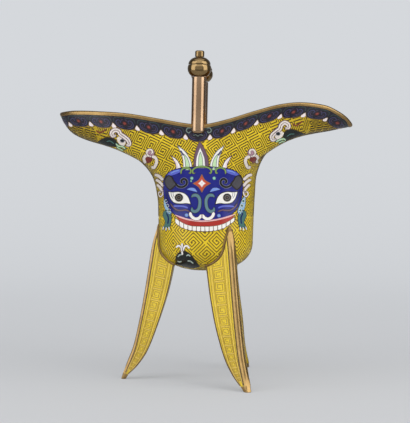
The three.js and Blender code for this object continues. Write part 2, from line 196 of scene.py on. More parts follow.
sweep = bpy.data.objects.new("studio_sweep", sweep_mesh)
bpy.context.collection.objects.link(sweep)

lamp_aim = Vector((0, 0, 100))
softboxes = [
    # name, side and rise in degrees (seen from the cup, with the camera at 0 and the spout's side positive),
    # distance, width, height and power
    ("softbox_left", -61, 18, 900, 720, 1200, 5.7),
    ("softbox_right", 62, 18, 900, 680, 1200, 6.2),
    ("softbox_high", 4, 50, 1200, 1500, 900, 5.2),
    ("softbox_low", 0, 6, 1300, 1700, 1000, 2.5),
    ("softbox_top", 10, 86, 1100, 1200, 800, 2.4),
]
for name, side, rise, distance, width, height, power in softboxes:
    lamp_data = bpy.data.lights.new(name, "AREA")
    lamp_data.shape = "RECTANGLE"
    lamp_data.size = width * MM
    lamp_data.size_y = height * MM
    lamp_data.energy = power
    lamp = bpy.data.objects.new(name, lamp_data)
    side_turn = math.radians(side)
    rise_turn = math.radians(rise)
    direction = Vector((
        math.sin(side_turn) * math.cos(rise_turn),
        -math.cos(side_turn) * math.cos(rise_turn),
        math.sin(rise_turn),
    ))
    lamp.location = (direction * distance + lamp_aim) * MM
    lamp.rotation_euler = (-direction).to_track_quat("-Z", "Y").to_euler()
    bpy.context.collection.objects.link(lamp)
world = bpy.data.worlds.new("studio_air")
world.use_nodes = True
world.node_tree.nodes["Background"].inputs["Color"].default_value = shade(208, 209, 213)
world.node_tree.nodes["Background"].inputs["Strength"].default_value = 0.27
bpy.context.scene.world = world

# Bowl: copper raised in one piece, from a rounded bottom to a mouth that runs out into spout and tail.
# Yellow enamel covers its outside, and its inside is gilt and rubbed dull.
wall = 1.8
bowl_bottom = 66
shoulder_height = 84
shoulder_radius = 28
bottom_squareness = 2.4
waist_height = 98
waist_radius = 28.5
saddle_height = 153
mouth_half_width = 30.5
tail_reach = 87.5
tail_tip_height = 160
spout_reach = 87.5
spout_peak_height = 165.5
spout_tip_height = 152.2
mouth_blend = 0.45
lower_bend = 0.8  # share of the lower levels that the rounded bottom takes
tail_keel = [
    (0, 0), (0.01, 0.2), (0.071, 0.41), (0.246, 0.584), (0.486, 0.679),
    (0.707, 0.734), (0.869, 0.806), (0.956, 0.906), (1, 1),
]
spout_keel = [
    (0, 0), (0.012, 0.244), (0.036, 0.489), (0.139, 0.71), (0.363, 0.856),
    (0.585, 0.913), (0.759, 0.946), (0.895, 0.978), (1, 1),
]
tail_rim = [(0, -0.02), (0.105, 0.02), (0.305, 0.44), (0.505, 0.86), (0.675, 1.04), (0.89, 1.13), (1, 1)]
spout_rim = [(0, -0.01), (0.16, 0.24), (0.324, 0.59), (0.49, 0.896), (0.64, 1), (0.804, 0.864)]
spout_lip = [(0.88, 0.663), (0.945, 0.392), (1, 0)]  # share of the drop from the peak to the tip


def stretch(share, start, end, leave, arrive):
    """A place on a smooth stretch from start to end that leaves and arrives with the given slopes."""
    place = start * (1 + 2 * share) * (1 - share) ** 2 + end * (3 - 2 * share) * share * share
    return place + leave * share * (1 - share) ** 2 - arrive * (1 - share) * share * share


def curve_through(rows):
    """A smooth function through points, with x rising."""
    xs, ys = np.array(rows, float).T
    slopes = np.empty(len(xs))
    slopes[1:-1] = (ys[2:] - ys[:-2]) / (xs[2:] - xs[:-2])
    slopes[0] = (ys[1] - ys[0]) / (xs[1] - xs[0])
    slopes[-1] = (ys[-1] - ys[-2]) / (xs[-1] - xs[-2])

    def value(x):
        i = np.clip(np.searchsorted(xs, x, side="left") - 1, 0, len(xs) - 2)
        span = xs[i + 1] - xs[i]
        return stretch((x - xs[i]) / span, ys[i], ys[i + 1], span * slopes[i], span * slopes[i + 1])

    return value


def column_curve(rows, column):
    """The column of a table as a smooth function of 0 to 1 down its rows."""
    return curve_through([(i / (len(rows) - 1), row[column]) for i, row in enumerate(rows)])


def smooth_step(value, low, high):
    share = np.clip((value - low) / (high - low), 0, 1)
    return share * share * (3 - 2 * share)


tail_out = column_curve(tail_keel, 0)
tail_up = column_curve(tail_keel, 1)
spout_out = column_curve(spout_keel, 0)
spout_up = column_curve(spout_keel, 1)
tail_rise = tail_tip_height - saddle_height
spout_rise = spout_peak_height - saddle_height
tip_rise = spout_tip_height - saddle_height
rim_rows = [(-share * tail_reach, rise * tail_rise) for share, rise in reversed(tail_rim[1:])]
rim_rows.append((0, tail_rim[0][1] * tail_rise))
rim_rows += [(share * spout_reach, rise * spout_rise) for share, rise in spout_rim[1:]]
rim_rows += [(share * spout_reach, tip_rise + (spout_rise - tip_rise) * rise) for share, rise in spout_lip]
rim_rise = curve_through(rim_rows)


def outer_point(angle, level):
    """The bowl's outer face: level 0 is the middle of the bottom, 1 the waist and 2 the top of the rim."""
    angle, level = np.broadcast_arrays(np.asarray(angle, float), np.asarray(level, float))
    along = np.cos(angle)
    low = np.clip(level, 0, 1)
    turn = np.minimum(low / lower_bend, 1) * np.pi / 2
    power = 2 / bottom_squareness
    side_share = np.clip((low - lower_bend) / (1 - lower_bend), 0, 1)
    radius = shoulder_radius * np.sin(turn) ** power + (waist_radius - shoulder_radius) * side_share
    low_height = shoulder_height - (shoulder_height - bowl_bottom) * np.clip(np.cos(turn), 0, 1) ** power
    low_height = low_height + (waist_height - shoulder_height) * side_share
    lower = np.stack([radius * along, radius * np.sin(angle), low_height], -1)

    up = np.clip(level - 1, 0, 1)
    to_spout = smooth_step(along, -mouth_blend, mouth_blend)
    tail_x = waist_radius + (tail_reach - waist_radius) * tail_out(up)
    spout_x = waist_radius + (spout_reach - waist_radius) * spout_out(up)
    tail_height = waist_height + (tail_tip_height - waist_height) * tail_up(up)
    spout_height = waist_height + (spout_tip_height - waist_height) * spout_up(up)
    side_height = waist_height + (saddle_height - waist_height) * up
    side_out = waist_radius + (mouth_half_width - waist_radius) * up
    wave = smooth_step(up, 0, 1)
    tail_end = tail_height - side_height - wave * rim_rise(-tail_x)
    spout_end = spout_height - side_height - wave * rim_rise(spout_x)
    x = (tail_x + (spout_x - tail_x) * to_spout) * along
    end_rise = tail_end + (spout_end - tail_end) * to_spout
    height = side_height + wave * rim_rise(x) + end_rise * along * along
    upper = np.stack([x, side_out * np.sin(angle), height], -1)
    return np.where((level < 1)[..., None], lower, upper)


def unit(vectors):
    """The vectors at length 1, but one of no length stays as it is."""
    shortest = 1e-9
    return vectors / np.maximum(np.linalg.norm(vectors, axis=-1, keepdims=True), shortest)


def face_axes(angle, level):
    """The outward normal and the direction down the outer face."""
    step = 1e-3
    level = np.asarray(level, float)
    around = outer_point(angle + step, level) - outer_point(angle - step, level)
    low = outer_point(angle, np.maximum(level - step, step))
    high = outer_point(angle, np.minimum(level + step, 2))
    down = unit(low - high)
    return unit(np.cross(down, around)), down


def wall_point(angle, level, depth, drop=0):
    """A point of the wall: depth goes into it from the outer face, drop goes down from the rim's edge."""
    normal, down = face_axes(angle, level)
    return outer_point(angle, level) - normal * depth + down * drop


def grid_faces(rows, columns, around=True, along=False):
    """Quads between rows of points. Each row closes on itself where around is set, and the last row runs on
    into the first where along is."""
    faces = []
    for row in range(rows if along else rows - 1):
        here = row * columns
        ahead = (row + 1) % rows * columns
        for i in range(columns if around else columns - 1):
            j = (i + 1) % columns
            faces.append((here + i, here + j, ahead + j, ahead + i))
    return faces


def closing_fans(columns, middle):
    """Triangles that close a grid's first and last rows, each round one of the two points that follow it."""
    last_row = middle - columns
    faces = []
    for i in range(columns):
        j = (i + 1) % columns
        faces.append((middle, j, i))
        faces.append((middle + 1, last_row + i, last_row + j))
    return faces


sharp_turn = math.radians(32)  # two faces that meet at more than this show an edge


def add_piece(name, points, faces, finishes, finish_of_face=None, colours=None):
    """A mesh piece of the cup from points in millimetres, smooth except where it turns sharply."""
    mesh = bpy.data.meshes.new(name)
    mesh.from_pydata((np.asarray(points) * MM).tolist(), [], faces)
    mesh.polygons.foreach_set("use_smooth", [True] * len(mesh.polygons))
    for finish in finishes:
        mesh.materials.append(finish.material)
    if finish_of_face is not None:
        mesh.polygons.foreach_set("material_index", finish_of_face)
    if colours is not None:
        layer = mesh.color_attributes.new(name="glaze", type="FLOAT_COLOR", domain="CORNER")
        corners = np.repeat(np.array(colours, float), [len(face) for face in faces], axis=0)
        layer.data.foreach_set("color", corners.ravel())
    mesh.update()
    mesh.set_sharp_from_angle(angle=sharp_turn)
    piece = bpy.data.objects.new(name, mesh)
    bpy.context.collection.objects.link(piece)
    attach(piece, "root")
    return piece


def mottled(finish, colour, spread, scale):
    """A colour that drifts a little lighter and darker over the surface."""
    drift = finish.noise(scale, 4, 0.6)
    dark = tuple(value * (1 - spread) for value in colour[:3]) + (1,)
    light = tuple(min(value * (1 + spread), 1) for value in colour[:3]) + (1,)
    return finish.blend(drift, dark, light)


def bare_metal(name, dark, light, patches, roughness, relief):
    """A metal rubbed lighter in patches, with the scales and amounts of its patches, roughness and relief."""
    metal = Finish(name, Metallic=1)
    metal.feed(Base_Color=metal.blend(metal.noise(*patches), dark, light))
    metal.roughen(*roughness)
    metal.relieve(*relief)
    return metal


ground = Finish("yellow_enamel", IOR=1.33)
ground_yellow = mottled(ground, shade(228, 198, 44), 0.16, 160)
ground_olive = ground.ramp(ground.noise(55, 3), 0.5, 0.75, 0.3, "LINEAR")
ground_colour = ground.blend(ground_olive, ground_yellow, shade(176, 146, 30))
# The yellow is painted darker and browner towards the spout's and tail's tips: painted shade where the wings
# turn down and away from the lamps.
ground_across = ground.place_on("X")
painted_tip_shade = ground.ramp(ground_across.sum("ABSOLUTE", ground_across), 0.025, 0.08, 0.75)
ground.feed(Base_Color=ground.blend(painted_tip_shade, ground_colour, shade(146, 118, 18)))
ground.roughen(240, 2, 0.12, 0.2)
ground.relieve(900, 3, 0.25, 0.0001)
lining = bare_metal(
    "gilt_lining", shade(120, 88, 44), shade(186, 148, 84),
    patches=(90, 5, 0.65), roughness=(160, 3, 0.2, 0.32), relief=(240, 4, 0.4, 0.0003),
)

bowl_turns = 288
bowl_angles = np.arange(bowl_turns) / bowl_turns * 2 * np.pi
bowl_edge_drop = 1.6  # the wall ends inside the rim band
outer_levels = np.concatenate([np.linspace(0.05, lower_bend, 22), [0.87, 0.94], np.linspace(1, 1.96, 62)])
inner_levels = outer_levels[::2]
edge_level = 2  # the rim's top
bowl_rings = [
    *(wall_point(bowl_angles, level, 0) for level in outer_levels),
    wall_point(bowl_angles, edge_level, 0, bowl_edge_drop),
    wall_point(bowl_angles, edge_level, wall, bowl_edge_drop),
    *(wall_point(bowl_angles, level, wall) for level in inner_levels[::-1]),
]
bowl_middles = [(0, 0, bowl_bottom), (0, 0, bowl_bottom + wall)]
bowl_points = np.concatenate(bowl_rings + [bowl_middles])
bowl_faces = grid_faces(len(bowl_rings), bowl_turns)
bowl_faces += closing_fans(bowl_turns, len(bowl_rings) * bowl_turns)
enamelled_count = (len(outer_levels) - 1) * bowl_turns
side_of_face = [0 if min(face) < enamelled_count else 1 for face in bowl_faces]
bowl = add_piece("bowl", bowl_points, bowl_faces, [ground, lining], side_of_face)
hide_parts("bowl_shell")

# Rim band: a gilt bronze strip closed over the wall's edge and soldered.
band_height = 2.2
band_proud = 0.35
band_crown = 1.1
crown_steps = 12
gilt = bare_metal(
    "rubbed_gilding", shade(122, 96, 56), shade(180, 150, 100),
    patches=(140, 5, 0.65), roughness=(300, 3, 0.2, 0.2), relief=(700, 3, 0.2, 0.0001),
)
band_half = wall / 2 + band_proud
band_section = [(-band_proud, band_height)]
for step in range(crown_steps + 1):
    turn = step / crown_steps * math.pi
    band_section.append((wall / 2 - band_half * math.cos(turn), (1 - math.sin(turn)) * band_crown))
band_section.append((wall + band_proud, band_height))
band_rings = np.stack([wall_point(bowl_angles, edge_level, depth, drop) for depth, drop in band_section], 1)
band_faces = [face[::-1] for face in grid_faces(bowl_turns, len(band_section), along=True)]
rim = add_piece("rim", band_rings.reshape(-1, 3), band_faces, [gilt])
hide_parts("rim_band")

# Fret: gilt wires soldered on edge to the copper, bent into a lattice of square spirals that the yellow
# enamel is fired between. A flat pattern sheet is bent round each half of the bowl to lay them.
grazing = 0.22  # how squarely the eye must see a place of the cup for a drawing to reach it
most_moves = 40
move_share = 0.03  # of the way to the middle of the outline, for each move of a point that is out of reach


class PatternSheet:
    """A flat sheet in millimetres whose every point has its place on a curved face of the cup."""

    def __init__(self, solid, normals, across, up):
        self.flat = np.stack([across, up], -1).reshape(-1, 2)
        self.solid = solid.reshape(-1, 3)
        self.normals = normals.reshape(-1, 3)
        quads = np.array(grid_faces(*across.shape, around=False))
        self.triangles = np.vstack([quads[:, [0, 1, 2]], quads[:, [0, 2, 3]]])
        flat_points = np.column_stack([self.flat, np.zeros(len(self.flat))])
        self.flat_tree = BVHTree.FromPolygons(flat_points.tolist(), self.triangles.tolist())
        self.solid_tree = BVHTree.FromPolygons(self.solid.tolist(), self.triangles.tolist())

    def shares(self, corners, places):
        """How much of each corner of a triangle goes into a point inside it."""
        first, second, third = corners[:, 0], corners[:, 1], corners[:, 2]
        b, c, p = second - first, third - first, places - first
        bb, bc, cc = (b * b).sum(-1), (b * c).sum(-1), (c * c).sum(-1)
        pb, pc = (p * b).sum(-1), (p * c).sum(-1)
        span = bb * cc - bc * bc
        to_second = (cc * pb - bc * pc) / span
        to_third = (bb * pc - bc * pb) / span
        return np.stack([1 - to_second - to_third, to_second, to_third], -1)[..., None]

    def bend(self, points, heights):
        """The places of sheet points on the face, at heights above it, and which of them are on it."""
        points = np.asarray(points, float)
        hits = [self.flat_tree.ray_cast((x, y, 1), (0, 0, -1))[2] for x, y in points.tolist()]
        on_sheet = np.array([hit is not None for hit in hits])
        triangles = self.triangles[[hit or 0 for hit in hits]]
        shares = self.shares(self.flat[triangles], points)
        places = (self.solid[triangles] * shares).sum(1)
        normals = unit((self.normals[triangles] * shares).sum(1))
        return places + normals * np.asarray(heights, float)[:, None], on_sheet

    def from_drawing(self, drawn):
        """Sheet points that the eye sees at places of the front drawing, moved in where it only grazes the
        cup."""
        found = []
        middle = Vector(np.mean(drawn, axis=0))
        for column, row in drawn:
            place = Vector((column, row))
            for _ in range(most_moves):
                ray = (drawn_at_axis(place.x, place.y) - eye).normalized()
                location, normal, triangle, _ = self.solid_tree.ray_cast(eye, ray)
                if location is not None and abs(normal.dot(ray)) > grazing:
                    break
                place += (middle - place) * move_share
            corners = self.triangles[[triangle]]
            shares = self.shares(self.solid[corners], np.array([location]))
            found.append((self.flat[corners] * shares).sum(1)[0])
        return np.array(found)


halving_reach = 2.0  # points this far past the middle plane are moved back onto it
cell_spacing = 1.4  # from one point inside a cell to the next
cell_margin = 0.4 * cell_spacing  # how far they keep from its outline
same_point = 1e-4  # points that are closer together than this are joined
wire_depth = 0.12
sharpest = 0.6  # limits how far a wire's corner runs out


class Inlay:
    """Enamel cells and wires drawn on a pattern sheet, gathered into one mesh for each side of the cup."""

    def __init__(self, bend):
        self.bend = bend
        self.points = []
        self.heights = []
        self.faces = []
        self.colours = []

    def add(self, points, heights, faces, colour):
        start = len(self.points)
        self.points += [tuple(point) for point in points]
        self.heights += list(heights)
        self.faces += [tuple(start + i for i in face) for face in faces]
        self.colours += [colour] * len(faces)

    def cell(self, outline, colour, height, skirt=0.12):
        """A pool of enamel with a flat top, reaching down a little at its edge."""
        outline = np.asarray(outline)
        count = len(outline)
        low, high = outline.min(0), outline.max(0)
        columns, rows = np.ceil((high - low) / cell_spacing).astype(int)
        inside = []
        ahead = np.roll(outline, -1, axis=0)
        for i in range(1, columns):
            for j in range(1, rows):
                place = low + (high - low) * (i / columns, j / rows)
                if np.min(((outline - place) ** 2).sum(1)) < cell_margin ** 2:
                    continue
                crossing = (outline[:, 1] > place[1]) != (ahead[:, 1] > place[1])
                rise = np.where(ahead[:, 1] == outline[:, 1], 1, ahead[:, 1] - outline[:, 1])
                reach = (ahead[:, 0] - outline[:, 0]) * (place[1] - outline[:, 1]) / rise + outline[:, 0]
                if np.count_nonzero(crossing & (place[0] < reach)) % 2:
                    inside.append(place)
        wanted = [Vector(point) for point in np.vstack([outline] + inside)]
        edges = [(i, (i + 1) % count) for i in range(count)]
        only_inside = 1
        points, _, faces, *_ = delaunay_2d_cdt(wanted, edges, [], only_inside, same_point)
        self.add(points, [height] * len(points), faces, colour)
        rim_points = np.vstack([outline, outline])
        rim_heights = [height] * count + [height - skirt] * count
        turning = np.sign((outline[:, 0] * ahead[:, 1] - ahead[:, 0] * outline[:, 1]).sum())
        walls = []
        for i in range(count):
            j = (i + 1) % count
            wall_face = (i, count + i, count + j, j)
            walls.append(wall_face if turning > 0 else wall_face[::-1])
        self.add(rim_points, rim_heights, walls, colour)

    def wire(self, line, width, colour, height, closed=False):
        """A wire on edge along a line of the sheet: its top and both of its sides."""
        line = np.asarray(line, float)
        before = np.roll(line, 1, axis=0)
        after = np.roll(line, -1, axis=0)
        if not closed:
            before[0] = line[0]
            after[-1] = line[-1]
        arrive = unit(line - before)
        leave = unit(after - line)
        along = unit(arrive + leave)
        steady = np.where(leave.any(1, keepdims=True), leave, arrive)
        square = np.clip((along * steady).sum(1, keepdims=True), sharpest, 1)
        aside = np.stack([-along[:, 1], along[:, 0]], -1) * (width / 2) / square
        count = len(line)
        points = np.vstack([line + aside, line - aside, line + aside, line - aside])
        heights = [height] * (2 * count) + [height - wire_depth] * (2 * count)
        faces = []
        for i in range(count if closed else count - 1):
            j = (i + 1) % count
            faces.append((i, count + i, count + j, j))
            faces.append((2 * count + i, i, j, 2 * count + j))
            faces.append((count + i, 3 * count + i, 3 * count + j, count + j))
        self.add(points, heights, faces, colour)

    def build(self, flipped=False, allowed=None, halved=False):
        """Points, faces and colours on the cup, without what runs off the sheet or isn't allowed where it is.
        A flipped pattern lies on the back. A halved one stops at the cup's middle plane, where it meets its
        likeness."""
        points, on_sheet = self.bend(self.points, self.heights)
        if allowed is not None:
            on_sheet &= allowed(points)
        if halved:
            on_sheet &= points[:, 1] < halving_reach
            points[:, 1] = np.minimum(points[:, 1], 0)
        kept = [i for i, face in enumerate(self.faces) if all(on_sheet[j] for j in face)]
        faces = [self.faces[i] for i in kept]
        colours = [self.colours[i] for i in kept]
        used = np.unique(np.concatenate([np.array(face) for face in faces]))
        renumber = {old: new for new, old in enumerate(used.tolist())}
        points = points[used]
        faces = [tuple(renumber[i] for i in face) for face in faces]
        if flipped:
            points = points * (1, -1, 1)
            faces = [face[::-1] for face in faces]
        return points, faces, colours


def stepped(line, step, closed=False):
    """The same line with points no further apart than a step, its corners kept."""
    line = [np.asarray(point, float) for point in line]
    if closed:
        line = line + [line[0]]
    points = []
    for here, there in zip(line[:-1], line[1:]):
        parts = max(int(np.ceil(np.linalg.norm(there - here) / step)), 1)
        points += [here + (there - here) * (i / parts) for i in range(parts)]
    if not closed:
        points.append(line[-1])
    return np.array(points)


def arc_lengths(points, axis):
    """Distances along rows or columns of points, from their start."""
    steps = np.linalg.norm(np.diff(points, axis=axis), axis=-1)
    return np.insert(np.cumsum(steps, axis=axis), 0, 0, axis=axis)


sheet_overlap = 0.5  # how far the front sheet runs on past the keels, in radians
sheet_columns = 221
sheet_angles = np.linspace(np.pi - sheet_overlap, 2 * np.pi + sheet_overlap, sheet_columns)
sheet_levels = np.concatenate([np.linspace(0.14, 0.97, 34), np.linspace(1, 2, 70)])
sheet_grid = np.meshgrid(sheet_angles, sheet_levels)
sheet_points = outer_point(*sheet_grid)
sheet_across = arc_lengths(sheet_points, 1)
sheet_across -= sheet_across[:, [sheet_columns // 2]]
sheet_up = arc_lengths(sheet_points, 0)
sheet_up -= sheet_up[[34]]
front_sheet = PatternSheet(sheet_points, face_axes(*sheet_grid)[0], sheet_across, sheet_up)

wires = Finish("wire_metal", Metallic=0.35)
wire_glaze = wires.add("ShaderNodeVertexColor", {"layer_name": "glaze"})
wire_wear = wires.noise(420, 3, 0.6)
wire_colour = wires.blend(wire_wear * 0.35, wire_glaze, shade(70, 48, 22))
wires.feed(Base_Color=wire_colour, Roughness=wire_wear * 0.25 + 0.28)

dark_wire = shade(98, 74, 18)
fret_border = 0.16  # clear ground between a cell's edge and its spiral, as a share of the cell
fret_pitch = 0.155  # from one turn of the spiral to the next, as a share of the cell
fret_turns = 3
fret_line = 0.46
fret_step = 1.9  # from one point of a wire to the next
fret_height = 0.1
fret_stop = 4.2  # how far under the rim's top the fret ends, beneath the border
fret_fields = [
    # size of a cell, turn of the lattice in degrees, the part of the sheet it fills as low and high corners,
    # and the colour of its wires, painted darker on the upper fields and darkest at the tips as painted shade
    # where the wall flares out and turns down
    (8.3, 36, (0, 0), (64, 130), shade(74, 54, 12)),
    (8.3, -36, (-66, 0), (0, 130), shade(66, 48, 12)),
    (6.2, 36, (64, 0), (130, 130), shade(56, 42, 10)),
    (6.2, -36, (-130, 0), (-66, 130), shade(56, 42, 10)),
    (9.6, 45, (-130, -60), (130, 0), dark_wire),
]


def square_spiral(half, pitch, turns):
    """A wire that winds inwards round a square cell and ends part of the way along its last side."""
    last_side = 0.6
    line = [(-half, -half)]
    for _ in range(turns):
        line += [(half, -half), (half, half), (-half, half), (-half, -half + pitch)]
        half -= pitch
    line.append((half * last_side, -half))
    return line


def spin(angle):
    """The matrix that turns flat points, given as rows, by an angle."""
    return np.array([(math.cos(angle), math.sin(angle)), (-math.sin(angle), math.cos(angle))])


def clipped(line, low, high):
    """The runs of a line that lie in a field of the sheet."""
    inside = ((line >= low) & (line <= high)).all(1)
    runs = [[]]
    for point, kept in zip(line, inside):
        if kept:
            runs[-1].append(point)
        elif runs[-1]:
            runs.append([])
    return [run for run in runs if len(run) > 1]


def below_rim(points):
    """Which points are far enough under the rim to lie clear of the band and the border's heads."""
    return saddle_height + rim_rise(points[:, 0]) - points[:, 2] > fret_stop


fret = Inlay(front_sheet.bend)
lattice_reach = 26
for cell, degrees, low, high, colour in fret_fields:
    spiral = square_spiral(cell * (0.5 - fret_border / 2), cell * fret_pitch, fret_turns)
    lattice_turn = spin(math.radians(degrees))
    for i in range(-lattice_reach, lattice_reach):
        for j in range(-lattice_reach, lattice_reach):
            middle = np.array([(i + 0.5) * cell, (j + 0.5) * cell])
            centre = middle @ lattice_turn
            if (centre < np.array(low) - cell).any() or (centre > np.array(high) + cell).any():
                continue
            quarter_turns = (i + 2 * j) % 4
            spun = np.array(spiral) @ spin(quarter_turns * np.pi / 2)
            line = stepped(spun + middle, fret_step) @ lattice_turn
            for run in clipped(line, low, high):
                fret.wire(run, fret_line, colour, fret_height)
for side, flipped in (("front", False), ("back", True)):
    points, faces, colours = fret.build(flipped, below_rim, halved=True)
    fret_piece = add_piece(f"fret_{side}", points, faces, [wires], colours=colours)

# Border: a dark blue collar of lobed cloud heads under the rim, all the way round. Each head holds two wire
# scrolls and a red bead, and a white drop hangs between it and the next.
glazes = Finish("coloured_enamel", IOR=1.36)
glaze = glazes.add("ShaderNodeVertexColor", {"layer_name": "glaze"})
glaze_drift = glazes.noise(260, 4, 0.6)
glaze_dark = glazes.blend(0.16, glaze, shade(8, 8, 14))
glaze_light = glazes.blend(0.02, glaze, shade(235, 235, 240))
glazes.feed(Base_Color=glazes.blend(glaze_drift, glaze_dark, glaze_light))
glazes.roughen(300, 2, 0.12, 0.16)
glazes.relieve(800, 3, 0.2, 0.0001)

navy = shade(24, 20, 34)
blue_grey = shade(62, 62, 100)
sea_green = shade(48, 66, 66)
dusk_purple = shade(76, 60, 88)
bead_red = shade(136, 60, 48)
bead_ring = shade(70, 26, 30)
drop_white = shade(244, 232, 232)
thin_gilt = shade(150, 118, 62)

pad_height = 0.17  # top of the lowest enamel cells, just over the fret's wires
pad_step = 0.035  # from one layer of cells to the next
wire_rise = 0.02  # how far a wire stands above its cell
thin_skirt = 0.06  # how deep the edge of a small cell reaches


def flowing(points, closed=True, step=0.8):
    """A smooth line through points of a drawing, where a point with a third value is a sharp corner."""
    places = [np.array(point[:2], float) for point in points]
    count = len(places)
    line = []
    for i in range(count if closed else count - 1):
        here, there = places[i], places[(i + 1) % count]
        before = places[i - 1] if closed or i else here
        after = places[(i + 2) % count] if closed or i + 2 < count else there
        if len(points[i]) > 2:
            before = here
        if len(points[(i + 1) % count]) > 2:
            after = there
        leave = (there - before) / 2
        arrive = (after - here) / 2
        parts = max(int(np.ceil(np.linalg.norm(there - here) / step)), 1)
        line += [stretch(share, here, there, leave, arrive) for share in np.arange(parts) / parts]
    if not closed:
        line.append(places[-1])
    return np.array(line)


stroke_tip = 0.3  # width of a stroke's ends, as a share of its full width
stroke_swell = 7  # how fast it grows from there


def brushed(points, width, step=0.8):
    """The outline of a thick stroke through points, drawn out thin at both ends."""
    line = flowing(points, False, step)
    along = unit(np.gradient(line, axis=0))
    aside = np.stack([-along[:, 1], along[:, 0]], -1)
    share = np.linspace(0, 1, len(line))[:, None]
    half = width / 2 * np.clip(np.minimum(share, 1 - share) * stroke_swell + stroke_tip, 0, 1)
    return np.vstack([line + aside * half, (line - aside * half)[::-1]])


def oval(centre, across, up, parts=18):
    turns = np.arange(parts) / parts * 2 * np.pi
    return np.stack([centre[0] + across * np.cos(turns), centre[1] + up * np.sin(turns)], -1)


def across_axis(points, axis):
    """The same points of a drawing on the other side of an upright line."""
    return [(2 * axis - point[0], *point[1:]) for point in points]


border_units = 25
border_phase = -4.2  # the bead nearest the middle of the front
border_squeeze = 0.5  # steps across the cup count this much, which widens the lobes towards the tips
border_middle = 5  # how far under the rim its steps are measured
border_rows = np.linspace(1.72, 2, 26)
border_angles = np.linspace(0.45 * np.pi, 2.55 * np.pi, 400)
border_grid = np.meshgrid(border_angles, border_rows)
border_points = outer_point(*border_grid)
border_up = arc_lengths(border_points[::-1], 0)[::-1] * -1
middle_row = wall_point(border_angles, edge_level, 0, border_middle)
border_along = arc_lengths(middle_row * (1, border_squeeze, 1), 0)
border_along -= np.interp(1.5 * np.pi, border_angles, border_along)
whole_turn = np.interp([0.5 * np.pi, 2.5 * np.pi], border_angles, border_along)
border_length = whole_turn[1] - whole_turn[0]
border_across = np.tile(border_along, (len(border_rows), 1))
border_sheet = PatternSheet(border_points, face_axes(*border_grid)[0], border_across, border_up)
unit_half = border_length / border_units / 2
border_top = -1.8
notch_drop = 6.3
lobe_drop = 9.9
lobe_edge = [
    (unit_half, -notch_drop, 1), (unit_half - 0.9, -7.7),
    (unit_half - 2.2, -9.0), (unit_half - 4.4, -lobe_drop + 0.1),
]
cloud_head = [(-unit_half, border_top, 1), (unit_half, border_top, 1)] + lobe_edge + [(0, -lobe_drop - 0.15)]
cloud_head += across_axis(reversed(lobe_edge), 0)
great_scroll = [(0.6, -9.0), (3.0, -8.7), (4.9, -7.2), (4.9, -5.2), (3.3, -4.3), (2.2, -5.2), (2.9, -6.4)]
head_strokes = [
    # colour, width, and the right half of the stroke, whose left half mirrors it
    (blue_grey, 0.45, great_scroll),
    (dusk_purple, 0.36, [(1.4, -7.9), (3.2, -7.6), (4.0, -6.6), (3.7, -5.6)]),
    (sea_green, 0.42, [(0.3, -2.9), (2.4, -3.0), (4.4, -2.8), (6.0, -3.6), (6.5, -5.4)]),
    (dusk_purple, 0.36, [(0.4, -4.0), (1.5, -4.2), (1.8, -5.2)]),
]
scroll_step = 0.6
lobe_line = 0.28
bead_middle = (0, -6.2)
bead_layers = [
    # colour, half width, half height
    (bead_ring, 1.4, 1.3),
    (bead_red, 0.8, 0.75),
]
drop_edge = [(unit_half + 0.8, -7.3), (unit_half + 1.5, -8.6), (unit_half + 1.0, -9.4)]
white_drop = [(unit_half, -notch_drop, 1)] + drop_edge + [(unit_half, -9.6)]
white_drop += across_axis(reversed(drop_edge), unit_half)
drop_step = 0.5
drop_line = 0.22
border = Inlay(border_sheet.bend)
border_wires = Inlay(border_sheet.bend)
for number in range(border_units):
    shift = np.array([border_phase + (number - border_units // 2) * 2 * unit_half, 0])
    if shift[0] < whole_turn[0]:
        shift[0] += border_length
    outline = flowing(cloud_head) + shift
    border.cell(outline, navy, pad_height)
    lobe = outline[outline[:, 1] < 0.1 - notch_drop]
    border_wires.wire(lobe, lobe_line, thin_gilt, pad_height + wire_rise)
    for colour, width, points in head_strokes:
        for mirror in (1, -1):
            outline = brushed(points, width, scroll_step) * (mirror, 1) + shift
            border.cell(outline[::mirror], colour, pad_height + pad_step, thin_skirt)
    if number != border_units // 2:  # the head under the front post has no bead
        for layer, (colour, across, up) in enumerate(bead_layers, 1):
            outline = oval(bead_middle, across, up) + shift
            border.cell(outline, colour, pad_height + layer * pad_step, thin_skirt)
    outline = flowing(white_drop, step=drop_step) + shift
    border.cell(outline, drop_white, pad_height + pad_step)
    border_wires.wire(outline, drop_line, thin_gilt, pad_height + pad_step + wire_rise, closed=True)
for inlay, name, finish in ((border, "border_enamel", glazes), (border_wires, "border_wires", wires)):
    points, faces, colours = inlay.build()
    border_piece = add_piece(name, points, faces, [finish], colours=colours)

# Mask and clouds: a blue monster mask with horns and bared teeth on the front of the bowl, paws at its sides,
# clouds over dark hills on the wings and a mound below. Each colour lies in its own cell of wire.
black = shade(10, 9, 10)
royal_blue = shade(14, 24, 128)
deep_blue = shade(10, 16, 92)
periwinkle = shade(92, 104, 206)
sky_blue = shade(128, 158, 230)
pale_blue = shade(150, 190, 222)
teal = shade(74, 118, 112)
leaf_green = shade(126, 168, 92)
jade = shade(98, 134, 142)
mint = shade(150, 206, 180)
pale_green = shade(196, 228, 180)
mist = shade(176, 192, 182)
grey_green = shade(120, 138, 130)
hill_green = shade(8, 20, 17)
smoke = shade(74, 72, 78)
plum = shade(112, 84, 104)
mauve = shade(178, 140, 154)
dark_plum = shade(96, 52, 76)
ivory = shade(248, 246, 240)
cream = shade(236, 226, 216)
blush = shade(240, 218, 222)
coral = shade(198, 78, 52)
lip_red = shade(176, 44, 34)
lip_pink = shade(238, 184, 184)
brown = shade(118, 82, 58)
pupil_ring = shade(112, 100, 92)
rust = shade(120, 46, 34)
slate_line = shade(120, 122, 136)

art = Inlay(front_sheet.bend)
art_wires = Inlay(front_sheet.bend)


